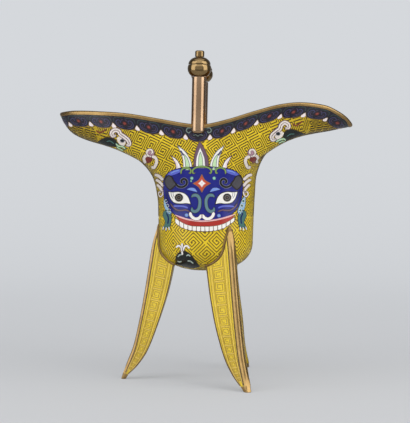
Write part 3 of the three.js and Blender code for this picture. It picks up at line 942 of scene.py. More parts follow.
def lay(outline, colour, layer, line=None, width=0.3):
    """One cell of the front drawing, with a wire round it where it has a line colour."""
    outline = front_sheet.from_drawing(outline)
    height = pad_height + layer * pad_step
    art.cell(outline, colour, height, pad_height if layer == 0 else pad_step * 2)
    if line is not None:
        art_wires.wire(outline, width, line, height + wire_rise, closed=True)


def lay_pair(points, axis, colour, layer, line=None, stroke=None, width=0.3):
    """A cell on the left and its likeness on the right, drawn as strokes where a stroke's width is given."""
    for side in (points, across_axis(points, axis)):
        outline = brushed(side, stroke) if stroke else flowing(side)
        lay(outline, colour, layer, line, width)


def lay_stroke(points, colour, layer, stroke, line=None, width=0.3):
    lay(brushed(points, stroke), colour, layer, line, width)


# Horns and flame
great_horn_axis = 200.9
small_horn_axis = 201.5
flame = [
    (199.8, 141, 1), (196.6, 148), (194.4, 156), (193.3, 168, 1), (208.9, 168, 1), (208, 158), (204.6, 149),
]
flame_white = [
    (200.2, 147.5, 1), (197.6, 154), (196.2, 160), (195.9, 168, 1), (205.3, 168, 1), (204.6, 159),
    (202.6, 153),
]
flame_core = [(200.4, 152, 1), (198.9, 157), (198.3, 168, 1), (203, 168, 1), (202.3, 158)]
lay(flowing(flame), plum, 0, dark_wire)
lay(flowing(flame_white), ivory, 1, slate_line)
lay(flowing(flame_core), pale_green, 2, slate_line)
great_horn = [
    (177.6, 145.6, 1), (180.4, 151.5), (182.6, 158), (183.4, 164), (183.2, 170, 1),
    (192, 170, 1), (191.4, 163.5), (189, 157.5), (184.6, 151),
]
great_horn_core = [
    (183.4, 153.6, 1), (185.1, 160), (185.7, 170, 1), (190, 170, 1), (189.2, 163), (187, 157.5),
]
lay_pair(great_horn, great_horn_axis, ivory, 0, slate_line)
lay_pair(great_horn_core, great_horn_axis, pale_green, 1, slate_line)
great_horn_tip = [(180.6, 150.6), (182.2, 153), (183.4, 155.6)]
lay_pair(great_horn_tip, great_horn_axis, blue_grey, 2, None, 1.3)
small_horn = [
    (170.9, 155.4, 1), (174, 160.5), (175.9, 165), (176.2, 170, 1), (181.6, 170, 1), (179.6, 164),
    (176.6, 159.5),
]
lay_pair(small_horn, small_horn_axis, ivory, 0, dark_plum)
small_horn_core = [(173.8, 159.4), (176.6, 163.4), (178, 169)]
lay_pair(small_horn_core, small_horn_axis, blush, 1, None, 1.2)

# Face
mask_axis = 203
mask_top = 166.2
mask_chin = 222.6
face_left = [
    (192, 167), (181, 168), (172, 170.5), (166.5, 174.5), (163.8, 181), (163.6, 190), (164.8, 199),
    (168.5, 207.5), (173.5, 213.5), (178.5, 217), (188, 220),
]
face = [(mask_axis, mask_top)] + face_left + [(mask_axis, mask_chin)]
face += across_axis(reversed(face_left), mask_axis)
lay(flowing(face), royal_blue, 1, black, 0.4)
corner = [(166.8, 176.2), (170.6, 171.6), (178.6, 169.2), (181.6, 170.8), (177, 173.6), (171.4, 175.4)]
lay_pair(corner, mask_axis, periwinkle, 2)
corner_light = [(171, 173.2), (175, 171.2), (179, 170.4)]
lay_pair(corner_light, mask_axis, sky_blue, 3, None, 1.0)
side_shade = [(166.4, 189), (167.6, 198), (171.6, 206), (178, 212.6)]
lay_pair(side_shade, mask_axis, deep_blue, 2, None, 2.2)
cheek_light = [(172, 206.6), (178, 206), (184, 206.4), (188, 208)]
lay_pair(cheek_light, mask_axis, periwinkle, 2, None, 1.6)
arch_axis = 203.3
side_arch = [
    (181.2, 174), (181.4, 170.4), (184.4, 168), (188.4, 168), (190.8, 170.2), (190.4, 173), (188.8, 172.8),
]
lay_pair(side_arch, arch_axis, leaf_green, 3, dark_wire, 1.6, 0.22)
middle_arch = [
    (195.2, 172.8), (193.4, 173.4), (192.6, 170.6), (195.6, 167.8), (201.8, 166.6), (208, 167.6),
    (211.2, 170.4), (210.6, 173.2), (209, 172.6),
]
lay_stroke(middle_arch, leaf_green, 3, 1.6, dark_wire, 0.22)
jewel = [
    (201.9, 174.3, 1), (205, 180), (210.6, 183.3, 1), (205, 187),
    (201.9, 192.3, 1), (198.6, 187), (193.1, 183.3, 1), (198.6, 180),
]
jewel_star = [
    (201.9, 179.6, 1), (203.5, 181.8), (205.6, 183.3, 1), (203.5, 184.9),
    (201.9, 187.2, 1), (200.2, 184.9), (198.2, 183.3, 1), (200.2, 181.8),
]
lay(flowing(jewel), coral, 3, thin_gilt)
lay(flowing(jewel_star), ivory, 4, lip_pink)
jewel_middle = (201.9, 183.3)
lay(oval(jewel_middle, 1.1, 1.1), blush, 5)
forehead_dots = [((191.9, 178.2), 1.6), ((214.1, 178.2), 1.6), ((191.2, 181), 0.9)]
for centre, size in forehead_dots:
    lay(oval(centre, size, size), mint, 3, teal, 0.22)
chin_dots = [(186.8, 215.1), (218.8, 215.6)]
for centre in chin_dots:
    lay(oval(centre, 1.7, 1.6), sky_blue, 3, jade, 0.22)
brow = [
    (165.5, 179), (168.2, 175.5), (171.9, 176.8), (173.9, 180.6), (176.8, 184, 1),
    (173.6, 187.2), (170.4, 189.4), (166.9, 186.4), (165.3, 182.6),
]
brow_curl = [
    (175.4, 183.2), (178.8, 186.4), (183, 186.8), (186.5, 184.4), (186.8, 180.8), (184.4, 178.8),
    (181.8, 180), (181.8, 182.6), (184, 183),
]
brow_curl_axis = 203.8
brow_axis = 203.6
lay_pair(brow_curl, brow_curl_axis, slate_line, 3, None, 2.8)
lay_pair(brow_curl, brow_curl_axis, black, 4, None, 1.9)
lay_pair(brow, brow_axis, smoke, 3, black, None, 0.8)
swoosh = [(186.4, 189.4, 1), (190.5, 187.6), (194.8, 188.2), (197.8, 192.2, 1), (193.4, 191.2)]
lay_pair(swoosh, brow_axis, sky_blue, 3, deep_blue, None, 0.22)
eye_white = [
    (168.5, 191.4, 1), (173, 192), (179, 191.6), (185, 193.4), (188.8, 197.6), (191, 204.4, 1),
    (186.5, 203.4), (180.4, 203.8), (174.4, 202.6), (170.8, 198.4),
]
lay_pair(eye_white, mask_axis, ivory, 3, black, None, 0.45)
eye_middles = [(179.2, 197.5), (226.9, 197.5)]
eye_rings = [(4.7, cream), (4.1, black), (2.5, pupil_ring), (1.9, black), (0.5, brown)]
eye_parts = 24
for eye_middle in eye_middles:
    for layer, (size, colour) in enumerate(eye_rings, 4):
        lay(oval(eye_middle, size, size, eye_parts), colour, layer)
eye_folds = [
    [(171.4, 192.4), (171.8, 195.4), (173.6, 198.6)],
    [(173.4, 192.6), (173.6, 195), (174.6, 197.2)],
]
for fold in eye_folds:
    lay_pair(fold, mask_axis, slate_line, 4, None, 0.5)
nose_curl = [
    (191.6, 197.2), (193.6, 195.3), (197.2, 195.5), (199.6, 199), (199.9, 204), (198.6, 209), (195.4, 211.5),
    (192.3, 210.2), (192.2, 207.2),
]
lay_pair(nose_curl, mask_axis, jade, 3, black, 3.4, 0.3)
nostril = [(190.3, 212), (191.4, 216), (195.2, 218.8), (199.2, 218), (202, 214.4)]
nostril_axis = 202
lay_pair(nostril, nostril_axis, ivory, 4, dark_plum, 3.2, 0.22)
cheek = [(170.8, 203.4), (173.6, 207.2), (177.6, 210), (182, 210.4), (186, 210), (190.4, 211.8)]
cheek_axis = 204
lay_pair(cheek, cheek_axis, plum, 3, black, 1.5, 0.2)

# Mouth
gum_line = [
    (174.6, 217.4), (182, 222.2), (191, 225.6), (202, 226.3), (213, 226), (223, 223.6), (235, 216.8),
]
bite_line = [
    (175.2, 222.4), (180.6, 227), (190, 230.4), (202, 231.5), (214, 231), (224, 228.2), (234.8, 220.8),
]
lips = [
    (175.8, 216, 1), (182, 218.4), (190, 220.6), (202, 222), (214, 221), (224, 218.6), (234, 215.2, 1),
    (231, 219.4), (223, 223.8), (213, 226), (202, 226.3), (191, 225.7), (182, 222.2),
]
lip_line = [
    (175.2, 214.8), (182, 217.6), (190, 219.8), (202, 221.1), (214, 220.1), (225, 217.6), (235, 214.2),
]
lay(np.vstack([flowing(gum_line, False), flowing(bite_line, False)[::-1]]), brown, 1, dark_wire)
lay(flowing(lips), lip_red, 3, dark_wire, 0.22)
lay_stroke(lip_line, lip_pink, 4, 1.5)
teeth = 14
teeth_left = 175.4
teeth_right = 234.4
tooth_gap = 0.08  # share of a tooth's width
tooth_root = 0.3  # how far its top lies under the gum's edge
tooth_clear = 0.25  # how far its lower edge stays from the bite line
tooth_corner = 0.4  # how much further its lower corners stay from it
above = curve_through(gum_line)
below = curve_through(bite_line)
for number in range(teeth):
    edges = np.array([number + tooth_gap, number + 1 - tooth_gap])
    left, right = teeth_left + (teeth_right - teeth_left) * edges / teeth
    places = np.linspace(left, right, 4)
    top = [(x, float(above(x)) + tooth_root) for x in places]
    bottom = [(x, float(below(x)) - tooth_clear) for x in places[::-1]]
    for end in (0, -1):
        bottom[end] = (bottom[end][0], bottom[end][1] - tooth_corner)
    lay(stepped(top + bottom, 0.8, True), ivory, 2)

# Ears, paws and claws at the sides of the mask
ear_axis = 203.3
ear_leaves = [
    # the points and the width of each stroke
    ([(154.8, 174.6), (158.6, 175.6), (163.6, 180)], 3.0),
    ([(155.8, 179.2), (159.8, 181.6), (163.8, 186.4)], 2.9),
    ([(157, 184.2), (160.2, 187.2), (163, 191.4)], 2.7),
    ([(162.8, 189.6), (163.2, 193.8), (161, 196.6), (158.8, 194.4), (159.8, 191.8), (161.6, 192.8)], 1.6),
]
for leaf, size in ear_leaves:
    lay_pair(leaf, ear_axis, cream, 1, plum, size)
paw_axis = 204.7
upper_paw = [
    (164.6, 196.6), (167.4, 199), (169.8, 204.6), (172, 211), (170.4, 214.6), (166.6, 211.6),
    (164.2, 204.6),
]
lay_pair(upper_paw, paw_axis, pale_blue, 0, deep_blue)
paw_spots = [(166.4, 201), (167.8, 205.6), (169.4, 210.4)]
for spot in paw_spots:
    for centre in (spot, *across_axis([spot], paw_axis)):
        lay(oval(centre, 1.3, 1.5), teal, 1, ivory)
lower_paw = [
    (164, 211.4), (167.4, 210.2), (171, 214), (171.6, 220), (170, 227.8, 1), (163.2, 228, 1), (165.4, 222),
    (163.2, 216),
]
lay_pair(lower_paw, paw_axis, teal, 0, hill_green)
paw_shade = [(166.6, 213), (168.6, 218), (168, 224)]
lay_pair(paw_shade, paw_axis, deep_blue, 1, None, 1.2)
claws = [
    [(164, 226.4), (163.2, 230)],
    [(166.6, 226.8), (166.2, 230.8)],
    [(169.2, 226.4), (169.6, 230.2)],
]
for claw in claws:
    lay_pair(claw, paw_axis, ivory, 2, hill_green, 1.2, 0.2)

# Clouds and hills on the wings
tail_hill = [
    (97.4, 142.4, 1), (103, 138.6), (109.2, 137.2), (115.2, 139.2), (117.6, 143.4), (116.8, 146.8, 1),
    (109, 146.2), (102.6, 144.2),
]
spout_hill = [
    (282.4, 133.6, 1), (288.4, 129.2), (295, 130), (304.8, 134.2, 1), (297, 136.8), (290, 139),
    (285.6, 141), (282.8, 137.4),
]
tail_cloud = [
    (116.6, 135.4), (113.6, 136), (112.2, 133.2), (114.6, 130.4), (118.8, 131), (121, 134.4), (124.8, 137),
    (128.6, 140.4), (129.4, 144.4), (126.2, 145.6),
]
spout_cloud = [
    (284.6, 128.2), (287.8, 127.6), (287.6, 124.4), (284.2, 122.8), (280.8, 125.2), (279.2, 129.2),
    (275, 132.4), (271.6, 136), (272.4, 139.6), (276, 139.4),
]
tail_fill = [(119.4, 136.6), (121.4, 141.6), (125.4, 144.2)]
spout_fill = [(281.4, 131.4), (279.2, 135.4), (275.2, 138)]
tail_bead = (122.7, 140.6)
spout_bead = (277.7, 133.7)
for hill, cloud, fill, bead in (
    (tail_hill, tail_cloud, tail_fill, tail_bead),
    (spout_hill, spout_cloud, spout_fill, spout_bead),
):
    lay(flowing(hill), hill_green, 0, dark_wire)
    lay_stroke(cloud, dark_plum, 1, 5.2)
    lay_stroke(fill, cream, 2, 5.6)
    lay_stroke(cloud, cream, 3, 4.3, plum, 0.25)
    lay_stroke(cloud, plum, 4, 0.6)
    lay(oval(bead, 2.0, 1.6), hill_green, 5, slate_line)
hill_waves = [
    # the points and the width of each stroke
    ([(116.2, 143.4), (119, 146), (123, 146.6), (125.8, 149)], 1.8),
    ([(116.8, 146.6), (120.4, 148.8), (123.6, 150.4)], 1.4),
    ([(275.4, 141.8), (279.4, 139.8), (283.2, 138.8), (285.4, 140.4)], 1.8),
    ([(278.4, 143.2), (281.8, 141.4), (284.4, 141.8)], 1.4),
]
for wave, size in hill_waves:
    lay_stroke(wave, pale_green, 2, size, teal)
hill_streaks = [
    [(107, 141.6), (110.4, 141), (114.6, 143.6)],
    [(286.6, 136.6), (289.8, 134.2), (294, 134)],
]
for streak in hill_streaks:
    lay_stroke(streak, teal, 1, 0.8)
wing_curls = [
    [(96.6, 130.4), (99.4, 132.6), (103.2, 131.6), (106.2, 129.4)],
    [(292, 123.4), (295.4, 125.8), (298.8, 124), (301.8, 121.2)],
]
for curl in wing_curls:
    lay_stroke(curl, rust, 0, 1.2)
neck_cloud_axis = 201
neck_cloud_heart = [(149.6, 155.6), (148.6, 158.6), (150.6, 162)]
lay_pair(neck_cloud_heart, neck_cloud_axis, rust, 0, dark_plum, 6.0, 0.22)
neck_cloud_head = (150.4, 152.6)
lay_pair(oval(neck_cloud_head, 4.2, 3.8).tolist(), neck_cloud_axis, mauve, 0, dark_plum, None, 0.2)
neck_cloud_curl = [
    (150.8, 153.4), (152.6, 152.6), (151.8, 150), (148.8, 149.8), (147, 152.4), (148.4, 155.6), (152, 156.6),
]
neck_cloud_strokes = [
    # the points and the width of each stroke
    (neck_cloud_curl, 2.1),
    ([(151.4, 156.4), (155.2, 157.4), (156.8, 160.6), (156, 164.4), (154, 167.6), (151.6, 166)], 3.2),
    ([(149.8, 155.6), (146.2, 155.6), (144.2, 158.6), (145.8, 163.2)], 3.0),
]
for points, size in neck_cloud_strokes:
    lay_pair(points, neck_cloud_axis, cream, 1, dark_plum, size, 0.2)

# Mound and plume under the mask
mound = [
    (175.4, 262.4), (176.4, 255.6), (180.6, 251.8), (185.8, 251.4), (191, 254.8), (195.6, 260.6),
    (200, 266.6, 1), (190, 268.6), (180, 267.4), (176.4, 265.6),
]
lay(flowing(mound), hill_green, 0, dark_wire)
mound_shade = [(178.6, 263.4), (184, 261), (190, 262.8), (195, 265.4)]
lay_stroke(mound_shade, black, 1, 2.6)
plumes = [
    [(182.6, 255), (182, 249), (182.3, 243.2)],
    [(181.9, 251.6), (181, 247.4), (178.4, 245.8), (176.2, 247.8)],
    [(182.9, 251.2), (184.6, 246.8), (187.4, 246), (189.6, 248.6)],
]
for plume in plumes:
    lay_stroke(plume, ivory, 1, 1.9, plum, 0.18)
mound_waves = [
    [(178, 257), (179.6, 255), (182, 254.6)],
    [(177.6, 261), (179.6, 261.8), (181.8, 261)],
    [(186.4, 256), (188.4, 254.8), (190.4, 256.4)],
    [(187.6, 260.8), (190.6, 261.2), (193.4, 263.4)],
]
for wave in mound_waves:
    lay_stroke(wave, mist, 2, 1.2)
mound_dots = [(180.4, 258.4), (187.8, 258.2)]
for centre in mound_dots:
    lay(oval(centre, 1.2, 1.1), black, 3)

# Curls on the border at both sides of the front post's foot
post_curl = [(192.2, 126), (190.4, 128), (187.6, 128.2), (186.4, 131), (188.8, 133), (190.6, 131.2)]
post_curl_axis = 198.8
lay_pair(post_curl, post_curl_axis, grey_green, 3, None, 0.9)
post_wave = [(193.4, 135.8), (195.8, 134.8), (198, 136.2), (200.4, 134.8), (203.4, 136)]
lay_stroke(post_wave, grey_green, 3, 0.6)

for side, flipped in (("front", False), ("back", True)):
    for inlay, name, finish in ((art, "mask_enamel", glazes), (art_wires, "mask_wires", wires)):
        points, faces, colours = inlay.build(flipped)
        art_piece = add_piece(f"{name}_{side}", points, faces, [finish], colours=colours)

# Legs: each is a three-sided blade of two enamelled copper flanks, a bronze back sheet and a gilt ridge
# strip, soldered edge to edge. A moulded gilt collar covers the seam with the bowl, and a cast foot closes
# the tip.
leg_turns = {"tail": math.pi, "front": -math.radians(60), "back": math.radians(60)}
foot_reach = 51.2
blade_half_width = 10.3
plate = 1.1
ridge_depth = 1.0
ridge_half_width = 1.3
ridge_point_half = 0.4
ridge_rise = 0.4  # how far its rounded crown stands out
ridge_start = 0.12  # share of the leg's length over which its ridge widens
solder = 0.05
sheets_end = 0.98
foot_top = 0.98
leg_steps = 90
collar_start = 0.12  # how far from the bowl the collar starts and ends
collar_end = 1.2
sheet_lap = 0.1  # how far the sheets run on under the collar's lower edge
leg_search = 0.5  # a leg is out of the bowl before this share of its length
leg_halvings = 22
leg_top_rows = [
    # rows down the leg beside the bowl: ridge out, ridge up, back out, back up and half width, as shares of
    # the leg's driving sizes
    (-0.022, 1.667, -0.474, 1, 1.13),
    (0.138, 1.056, -0.431, 0.556, 1.076),
    (0.254, 0.206, -0.362, 0, 1),
]
leg_blade_rows = [
    # the same below the bowl
    (0.362, 0.818, -0.224, 0.788, 0.967),
    (0.5, 0.558, 0.004, 0.536, 0.902),
    (0.655, 0.318, 0.272, 0.288, 0.717),
    (0.81, 0.17, 0.539, 0.142, 0.533),
    (0.972, 0.038, 0.85, 0.03, 0.3),
]
leg_span = foot_reach - shoulder_radius
bottom_drop = shoulder_height - bowl_bottom
leg_rows = []
for rows, floor, span in ((leg_top_rows, bowl_bottom, bottom_drop), (leg_blade_rows, 0, bowl_bottom)):
    for ridge, ridge_share, back, back_share, half in rows:
        leg_rows.append((
            shoulder_radius + leg_span * ridge,
            floor + span * ridge_share,
            shoulder_radius + leg_span * back,
            floor + span * back_share,
            blade_half_width * half,
        ))
leg_curves = [column_curve(leg_rows, column) for column in range(5)]


def leg_point(share, along, shift=0, side=1, inset=0):
    """A point of a leg that stands towards +X. along goes from 0 at its back to 1 at its ridge with a shift
    in millimetres on top, side goes from -1 to 1 across it, and inset goes in from its flanks."""
    ridge_out, ridge_up, back_out, back_up, half = (curve(share) for curve in leg_curves)
    length = np.hypot(ridge_out - back_out, ridge_up - back_up)
    ridge_half = ridge_point_half + (ridge_half_width - ridge_point_half) * smooth_step(share, 0, ridge_start)
    depth = along + shift / length
    lean = np.hypot(half - ridge_half, length) / length
    across = side * np.maximum(half + (ridge_half - half) * depth - inset * lean, solder)
    out = back_out + (ridge_out - back_out) * depth
    return np.stack(np.broadcast_arrays(out, across, back_up + (ridge_up - back_up) * depth), -1)


def outside_bowl(points, grow):
    """Which points are outside the lower part of the bowl when that is grown by a distance."""
    height = points[..., 2]
    widened = np.interp(height, [shoulder_height, waist_height], [0, waist_radius - shoulder_radius])
    reach = np.clip(np.hypot(points[..., 0], points[..., 1]) - widened, 0, None) / (shoulder_radius + grow)
    fall = np.clip(shoulder_height - height, 0, None) / (bottom_drop + grow)
    return reach ** bottom_squareness + fall ** bottom_squareness > 1


def leaves_bowl(grow, *place):
    """The share of the leg's length where each line down it comes out of the grown bowl, by halving."""
    low, high = 0.0, leg_search
    for _ in range(leg_halvings):
        middle = (low + high) / 2
        out = outside_bowl(leg_point(middle, *place), grow)
        low, high = np.where(out, low, middle), np.where(out, middle, high)
    return high


def down_leg(along, shift=0, side=1, inset=0):
    """A grid of points down a leg, from the collar to the foot."""
    start = leaves_bowl(collar_end - sheet_lap, along, shift, side, inset)
    shares = start + (sheets_end - start) * np.linspace(0, 1, leg_steps)[:, None]
    return leg_point(shares, along, shift, side, inset)


def slab(outer, inner):
    """A closed sheet between two grids of points, facing out on all sides."""
    rows, columns = outer.shape[:2]
    count = rows * columns
    faces = grid_faces(rows, columns, around=False)
    faces += [tuple(i + count for i in face[::-1]) for face in faces]
    edge = list(range(columns)) + [columns * row + columns - 1 for row in range(1, rows)]
    edge += [count - 1 - i for i in range(1, columns)] + [columns * row for row in range(rows - 2, 0, -1)]
    for here, there in zip(edge, edge[1:] + edge[:1]):
        faces.append((there, here, here + count, there + count))
    facing = np.cross(outer[:-1, 1:] - outer[:-1, :-1], outer[1:, 1:] - outer[:-1, :-1])
    if (facing * (outer - inner)[:-1, :-1]).sum() < 0:
        faces = [face[::-1] for face in faces]
    return np.concatenate([outer.reshape(-1, 3), inner.reshape(-1, 3)]), faces


def turned_about(points, angle):
    cos, sin = math.cos(angle), math.sin(angle)
    x, y, z = np.moveaxis(np.asarray(points, float), -1, 0)
    return np.stack([x * cos - y * sin, x * sin + y * cos, z], -1)


# A darker copy of the gilding for the collars and back sheets: its overall darkness is painted shade for the
# dark floor and horizon this metal reflects, and its rubbed patches are wear.
worn_and_shaded_gilt = bare_metal(
    "worn_and_shaded_gilding", shade(78, 60, 34), shade(150, 122, 78),
    patches=(150, 5, 0.7), roughness=(260, 3, 0.2, 0.26), relief=(600, 3, 0.25, 0.0001),
)

flank_steps = np.linspace(0, 1, 17)
flank_shift = -(ridge_depth + solder) * flank_steps
flank_rows = np.linspace(0.02, sheets_end, 110)[:, None]
flank_wires = {}
edging = shade(88, 66, 40)
olive_wire = shade(168, 138, 40)
gold_wire = shade(232, 202, 98)
flank_lines = [
    # wires down both edges of a flank: distance in from an edge as a share of its width, and their own width,
    # colour and height
    (0.03, 0.7, edging, 0.16),
    (0.13, 0.34, olive_wire, 0.09),
    (0.19, 0.3, gold_wire, 0.11),
    (0.26, 0.42, olive_wire, 0.1),
]
flank_wire_start = 0.6  # how far from the bowl they start
key_share = 0.19  # half the width of a key, as a share of the flank's width there
key_pitch = 0.42  # this and the two below are shares of that half width
bar_reach = 1.2
bar_drop = 1.18  # a bar lies halfway between two keys
key_turns = 2
key_line = 0.34
bar_line = 0.26
key_step = 1.5
last_key = 3  # the keys stop this far above the flank's end
for side in (1, -1):
    flank_face = leg_point(flank_rows, flank_steps[::-side], flank_shift[::-side], side)
    widths = np.linalg.norm(flank_face[:, -1] - flank_face[:, 0], axis=-1)
    middle_line = [len(flank_steps) // 2]
    flank_up = np.tile(arc_lengths(flank_face, 0)[:, middle_line], (1, len(flank_steps)))
    flank_across = (flank_steps - 0.5) * widths[:, None]
    down_face = np.gradient(flank_face, axis=0)
    flank_normals = unit(np.cross(np.gradient(flank_face, axis=1), down_face)) * -1
    flank_sheet = PatternSheet(flank_face, flank_normals, flank_across, -flank_up)
    ups = -flank_up[:, 0]
    drawn = Inlay(flank_sheet.bend)
    for share, width, colour, height in flank_lines:
        reach = np.minimum((0.5 - share) * widths, widths / 2 - width / 2 - solder)
        for edge in (-1, 1):
            line = np.stack([edge * reach, np.maximum(ups, ups[-1] + solder)], -1)
            drawn.wire(line[2:], width, colour, height)
    place = ups[0]
    while place > ups[-1] + last_key:
        half = key_share * float(np.interp(-place, -ups, widths))
        key = np.array(square_spiral(half, half * key_pitch, key_turns)) + (0, place)
        drawn.wire(stepped(key, key_step), key_line, olive_wire, 0.09)
        bar_place = place - half * bar_drop
        bar = [(-half * bar_reach, bar_place), (half * bar_reach, bar_place)]
        drawn.wire(stepped(bar, key_step), bar_line, gold_wire, 0.1)
        place -= 2 * bar_drop * half
    flank_wires[side] = drawn.build(allowed=lambda points: outside_bowl(points, flank_wire_start))

ridge_sides = np.linspace(-1, 1, 13)
ridge_down = np.linspace(0, 1, leg_steps)[:, None]
ridge_taper = smooth_step(ridge_down, 0, 0.2) * smooth_step(1 - ridge_down, 0, 0.12)
ridge_crown = ridge_rise * (1 - ridge_sides ** 2) * ridge_taper
back_sides = np.linspace(-1, 1, 13)
back_inset = plate + solder
collar_flank = np.linspace(0, 1, 28)
collar_back = np.linspace(-1, 1, 14)[1:-1]
collar_along = np.concatenate([collar_flank, collar_flank[::-1], np.zeros(len(collar_back))])
collar_side = np.concatenate([np.ones(len(collar_flank)), -np.ones(len(collar_flank)), collar_back])
collar_section = [
    # distance from the bowl, and distance out from the leg's faces
    (collar_start, -0.9), (collar_start, 0.1), (0.2, 0.28), (0.4, 0.38), (0.66, 0.42),
    (0.92, 0.38), (1.12, 0.28), (collar_end, 0.1), (collar_end, -0.9),
]
collar_rings = []
for grow, proud in collar_section:
    place = (collar_along, (2 * collar_along - 1) * proud, collar_side, -proud)
    collar_rings.append(leg_point(leaves_bowl(grow, *place), *place))
collar_points = np.concatenate(collar_rings)
collar_faces = grid_faces(len(collar_section), len(collar_along), along=True)

foot_inner = (foot_reach - 2.8, 2.2)  # how far out the foot's flat starts, and its half width there
foot_outer = (foot_reach, 1.4)
foot_rows = 12
corner_share = 0.14
corner_parts = 4
sole_edge = 0.25  # how high above the ground the foot starts to turn in
sole_share = 0.86  # size of the flat that it stands on


def rounded_corners(corners):
    """A smooth loop through a four-sided outline, its corners rounded."""
    loop = []
    for i, corner in enumerate(corners):
        start = corner + (corners[i - 1] - corner) * corner_share
        end = corner + (corners[(i + 1) % len(corners)] - corner) * corner_share
        for s in np.linspace(0, 1, corner_parts + 1):
            loop.append(start * (1 - s) ** 2 + corner * 2 * s * (1 - s) + end * s * s)
    return np.array(loop)


foot_upper = rounded_corners(leg_point(foot_top, np.array([0, 0, 1, 1]), 0, np.array([-1, 1, 1, -1])))
foot_lower = rounded_corners(np.array([
    (foot_inner[0], -foot_inner[1], 0), (foot_inner[0], foot_inner[1], 0),
    (foot_outer[0], foot_outer[1], 0), (foot_outer[0], -foot_outer[1], 0),
]))
foot_rings = [foot_upper + (foot_lower - foot_upper) * share for share in np.linspace(0, 1, foot_rows)[:-1]]
sole_middle = foot_lower.mean(0)
foot_rings.append(foot_lower + (foot_upper - foot_lower) * sole_edge / foot_upper[:, 2].mean())
foot_rings.append(sole_middle + (foot_lower - sole_middle) * sole_share)
foot_columns = len(foot_upper)
foot_points = np.concatenate(foot_rings + [[foot_upper.mean(0), sole_middle]])
foot_faces = grid_faces(len(foot_rings), foot_columns)
foot_faces += closing_fans(foot_columns, len(foot_rings) * foot_columns)

hands = {1: "left", -1: "right"}
leg_pieces = []
for side, hand in hands.items():
    outer = down_leg(flank_steps, flank_shift, side)
    inner = down_leg(flank_steps, flank_shift, side, plate)
    leg_pieces.append((f"flank_{hand}", *slab(outer, inner), ground, "enamelled_copper"))
outer = down_leg(0, 0, back_sides, back_inset)
inner = down_leg(0, plate, back_sides, back_inset)
leg_pieces.append(("back_sheet", *slab(outer, inner), worn_and_shaded_gilt, "bronze"))
outer = down_leg(1, ridge_crown, ridge_sides)
inner = down_leg(1, -ridge_depth, ridge_sides)
leg_pieces.append(("ridge_strip", *slab(outer, inner), gilt, "gilt_bronze"))
leg_pieces.append(("collar", collar_points, collar_faces, worn_and_shaded_gilt, "gilt_bronze"))
leg_pieces.append(("foot", foot_points, foot_faces, gilt, "gilt_bronze"))
for leg, angle in leg_turns.items():
    for part, points, faces, finish, slot in leg_pieces:
        leg_piece = add_piece(f"leg_{leg}_{part}_visual", turned_about(points, angle), faces, [finish])
        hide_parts(f"leg_{leg}_{part}")
    for side, hand in hands.items():
        points, faces, colours = flank_wires[side]
        points = turned_about(points, angle)
        wire_piece = add_piece(f"leg_{leg}_wires_{hand}", points, faces, [wires], colours=colours)

# Posts: each is a turned bronze stem whose rounded foot reaches down over the rim, with a ball, a cap and a
# finial stacked on it and held by a rod through them all. They lean a little towards the spout.
post_offset = -3.9
post_lean = math.radians(1.3)
post_segments = 72
stem_radius = 4.05
stem_height = 27.3
stem_foot_depth = 5.2
stem_foot_round = 1.8
stem_edge = 0.3
post_gap = 0.3
rod_hole = 1.3
rod_in_stem = 7
ball_radius = 6.8
ball_height = 6.4
ball_crown = 2.0
ball_flatness = 0.86
cap_radius = 6.4
cap_height = 4.1
cap_flat_radius = 2.9
cap_inset = 0.25
small_bevel = 0.2
finial_radius = 2.65
finial_height = 3.6
finial_round = 0.9
seat_height = saddle_height + float(rim_rise(np.float64(post_offset)))
wall_middle = mouth_half_width * math.sqrt(1 - (post_offset / tail_reach) ** 2) - wall / 2
stem_top = seat_height + stem_height
stem_foot = seat_height - stem_foot_depth
ball_bottom = stem_top + post_gap
ball_top = ball_bottom + ball_height
cap_bottom = ball_top + post_gap
cap_top = cap_bottom + cap_height
finial_bottom = cap_top + post_gap
finial_top = finial_bottom + finial_height


def bulge(radius, middle, half_height, low, high, parts=24):
    """The part of an ellipse's side between two heights, as (radius, height)."""
    heights = np.linspace(low, high, parts)
    return [(radius * math.sqrt(max(1 - ((z - middle) / half_height) ** 2, 0)), z) for z in heights]


def quarter(radius, height, size, direction, parts=6):
    """A rounded edge at a radius and height, turning in downwards (-1) or upwards (1)."""
    line = []
    for turn in np.linspace(0, math.pi / 2, parts + 1):
        out = radius - size + size * math.cos(turn)
        line.append((out, height - direction * (size - size * math.sin(turn))))
    return line if direction > 0 else line[::-1]


def turned(profile, looped=False):
    """Points and faces of a profile of (radius, height) turned about the upright axis."""
    points = []
    rings = []
    for radius, height in profile:
        count = post_segments if radius > 0 else 1
        rings.append([len(points) + i for i in range(count)])
        for i in range(count):
            turn = i / count * 2 * math.pi
            points.append((radius * math.cos(turn), radius * math.sin(turn), height))
    faces = []
    pairs = list(zip(rings[:-1], rings[1:])) + ([(rings[-1], rings[0])] if looped else [])
    for lower, upper in pairs:
        for i in range(post_segments):
            j = i + 1
            corners = [lower[i % len(lower)], lower[j % len(lower)]]
            corners += [upper[j % len(upper)], upper[i % len(upper)]]
            faces.append(tuple(dict.fromkeys(corners)))
    return np.array(points), faces


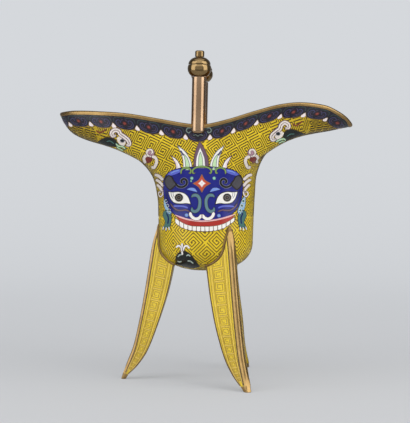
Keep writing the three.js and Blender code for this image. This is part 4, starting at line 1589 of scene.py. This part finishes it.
stem_profile = [(0, stem_foot)] + quarter(stem_radius, stem_foot, stem_foot_round, -1)
stem_profile += quarter(stem_radius, stem_top, stem_edge, 1, 3)
stem_profile += [(rod_hole, stem_top), (rod_hole, stem_top - rod_in_stem), (0, stem_top - rod_in_stem)]
ball_half = ball_radius * ball_flatness
ball_profile = bulge(ball_radius, ball_top - ball_crown, ball_half, ball_bottom, ball_top)
ball_profile += [(rod_hole, ball_top), (rod_hole, ball_bottom)]
cap_half = cap_height / math.sqrt(1 - (cap_flat_radius / cap_radius) ** 2)
cap_profile = [(cap_radius - cap_inset, cap_bottom)]
cap_profile += bulge(cap_radius, cap_bottom, cap_half, cap_bottom + small_bevel, cap_top)
cap_profile += [(rod_hole, cap_top), (rod_hole, cap_bottom)]
finial_profile = [(finial_radius - small_bevel, finial_bottom), (finial_radius, finial_bottom + small_bevel)]
finial_profile += quarter(finial_radius, finial_top, finial_round, 1)
finial_profile += [(rod_hole, finial_top), (rod_hole, finial_bottom)]
bronze = bare_metal(
    "brown_bronze", shade(138, 108, 80), shade(196, 168, 138),
    patches=(80, 4, 0.55), roughness=(180, 3, 0.1, 0.15), relief=(200, 2, 0.05, 0.0001),
)
polished = bare_metal(
    "polished_gilding", shade(104, 82, 52), shade(166, 140, 98),
    patches=(180, 4, 0.6), roughness=(220, 3, 0.14, 0.1), relief=(260, 2, 0.08, 0.0001),
)
post_parts = [
    ("stem", turned(stem_profile), bronze, "bronze"),
    ("ball", turned(ball_profile, True), polished, "bronze"),
    ("cap", turned(cap_profile, True), polished, "bronze"),
    ("finial", turned(finial_profile, True), polished, "gilt_bronze"),
]
for post, side in (("front", -1), ("back", 1)):
    for part, (points, faces), finish, slot in post_parts:
        x, y, z = points.T
        rise = z - seat_height
        leaned = np.stack([
            post_offset + x * math.cos(post_lean) + rise * math.sin(post_lean),
            y + side * wall_middle,
            seat_height - x * math.sin(post_lean) + rise * math.cos(post_lean),
        ], -1)
        post_piece = add_piece(f"post_{post}_{part}_visual", leaned, faces, [finish])
        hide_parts(f"post_{post}_{part}")
    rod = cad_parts[f"post_{post}_tie_rod"]
    rod.data.materials.clear()
    rod.data.materials.append(bronze.material)

bpy.context.view_layer.update()
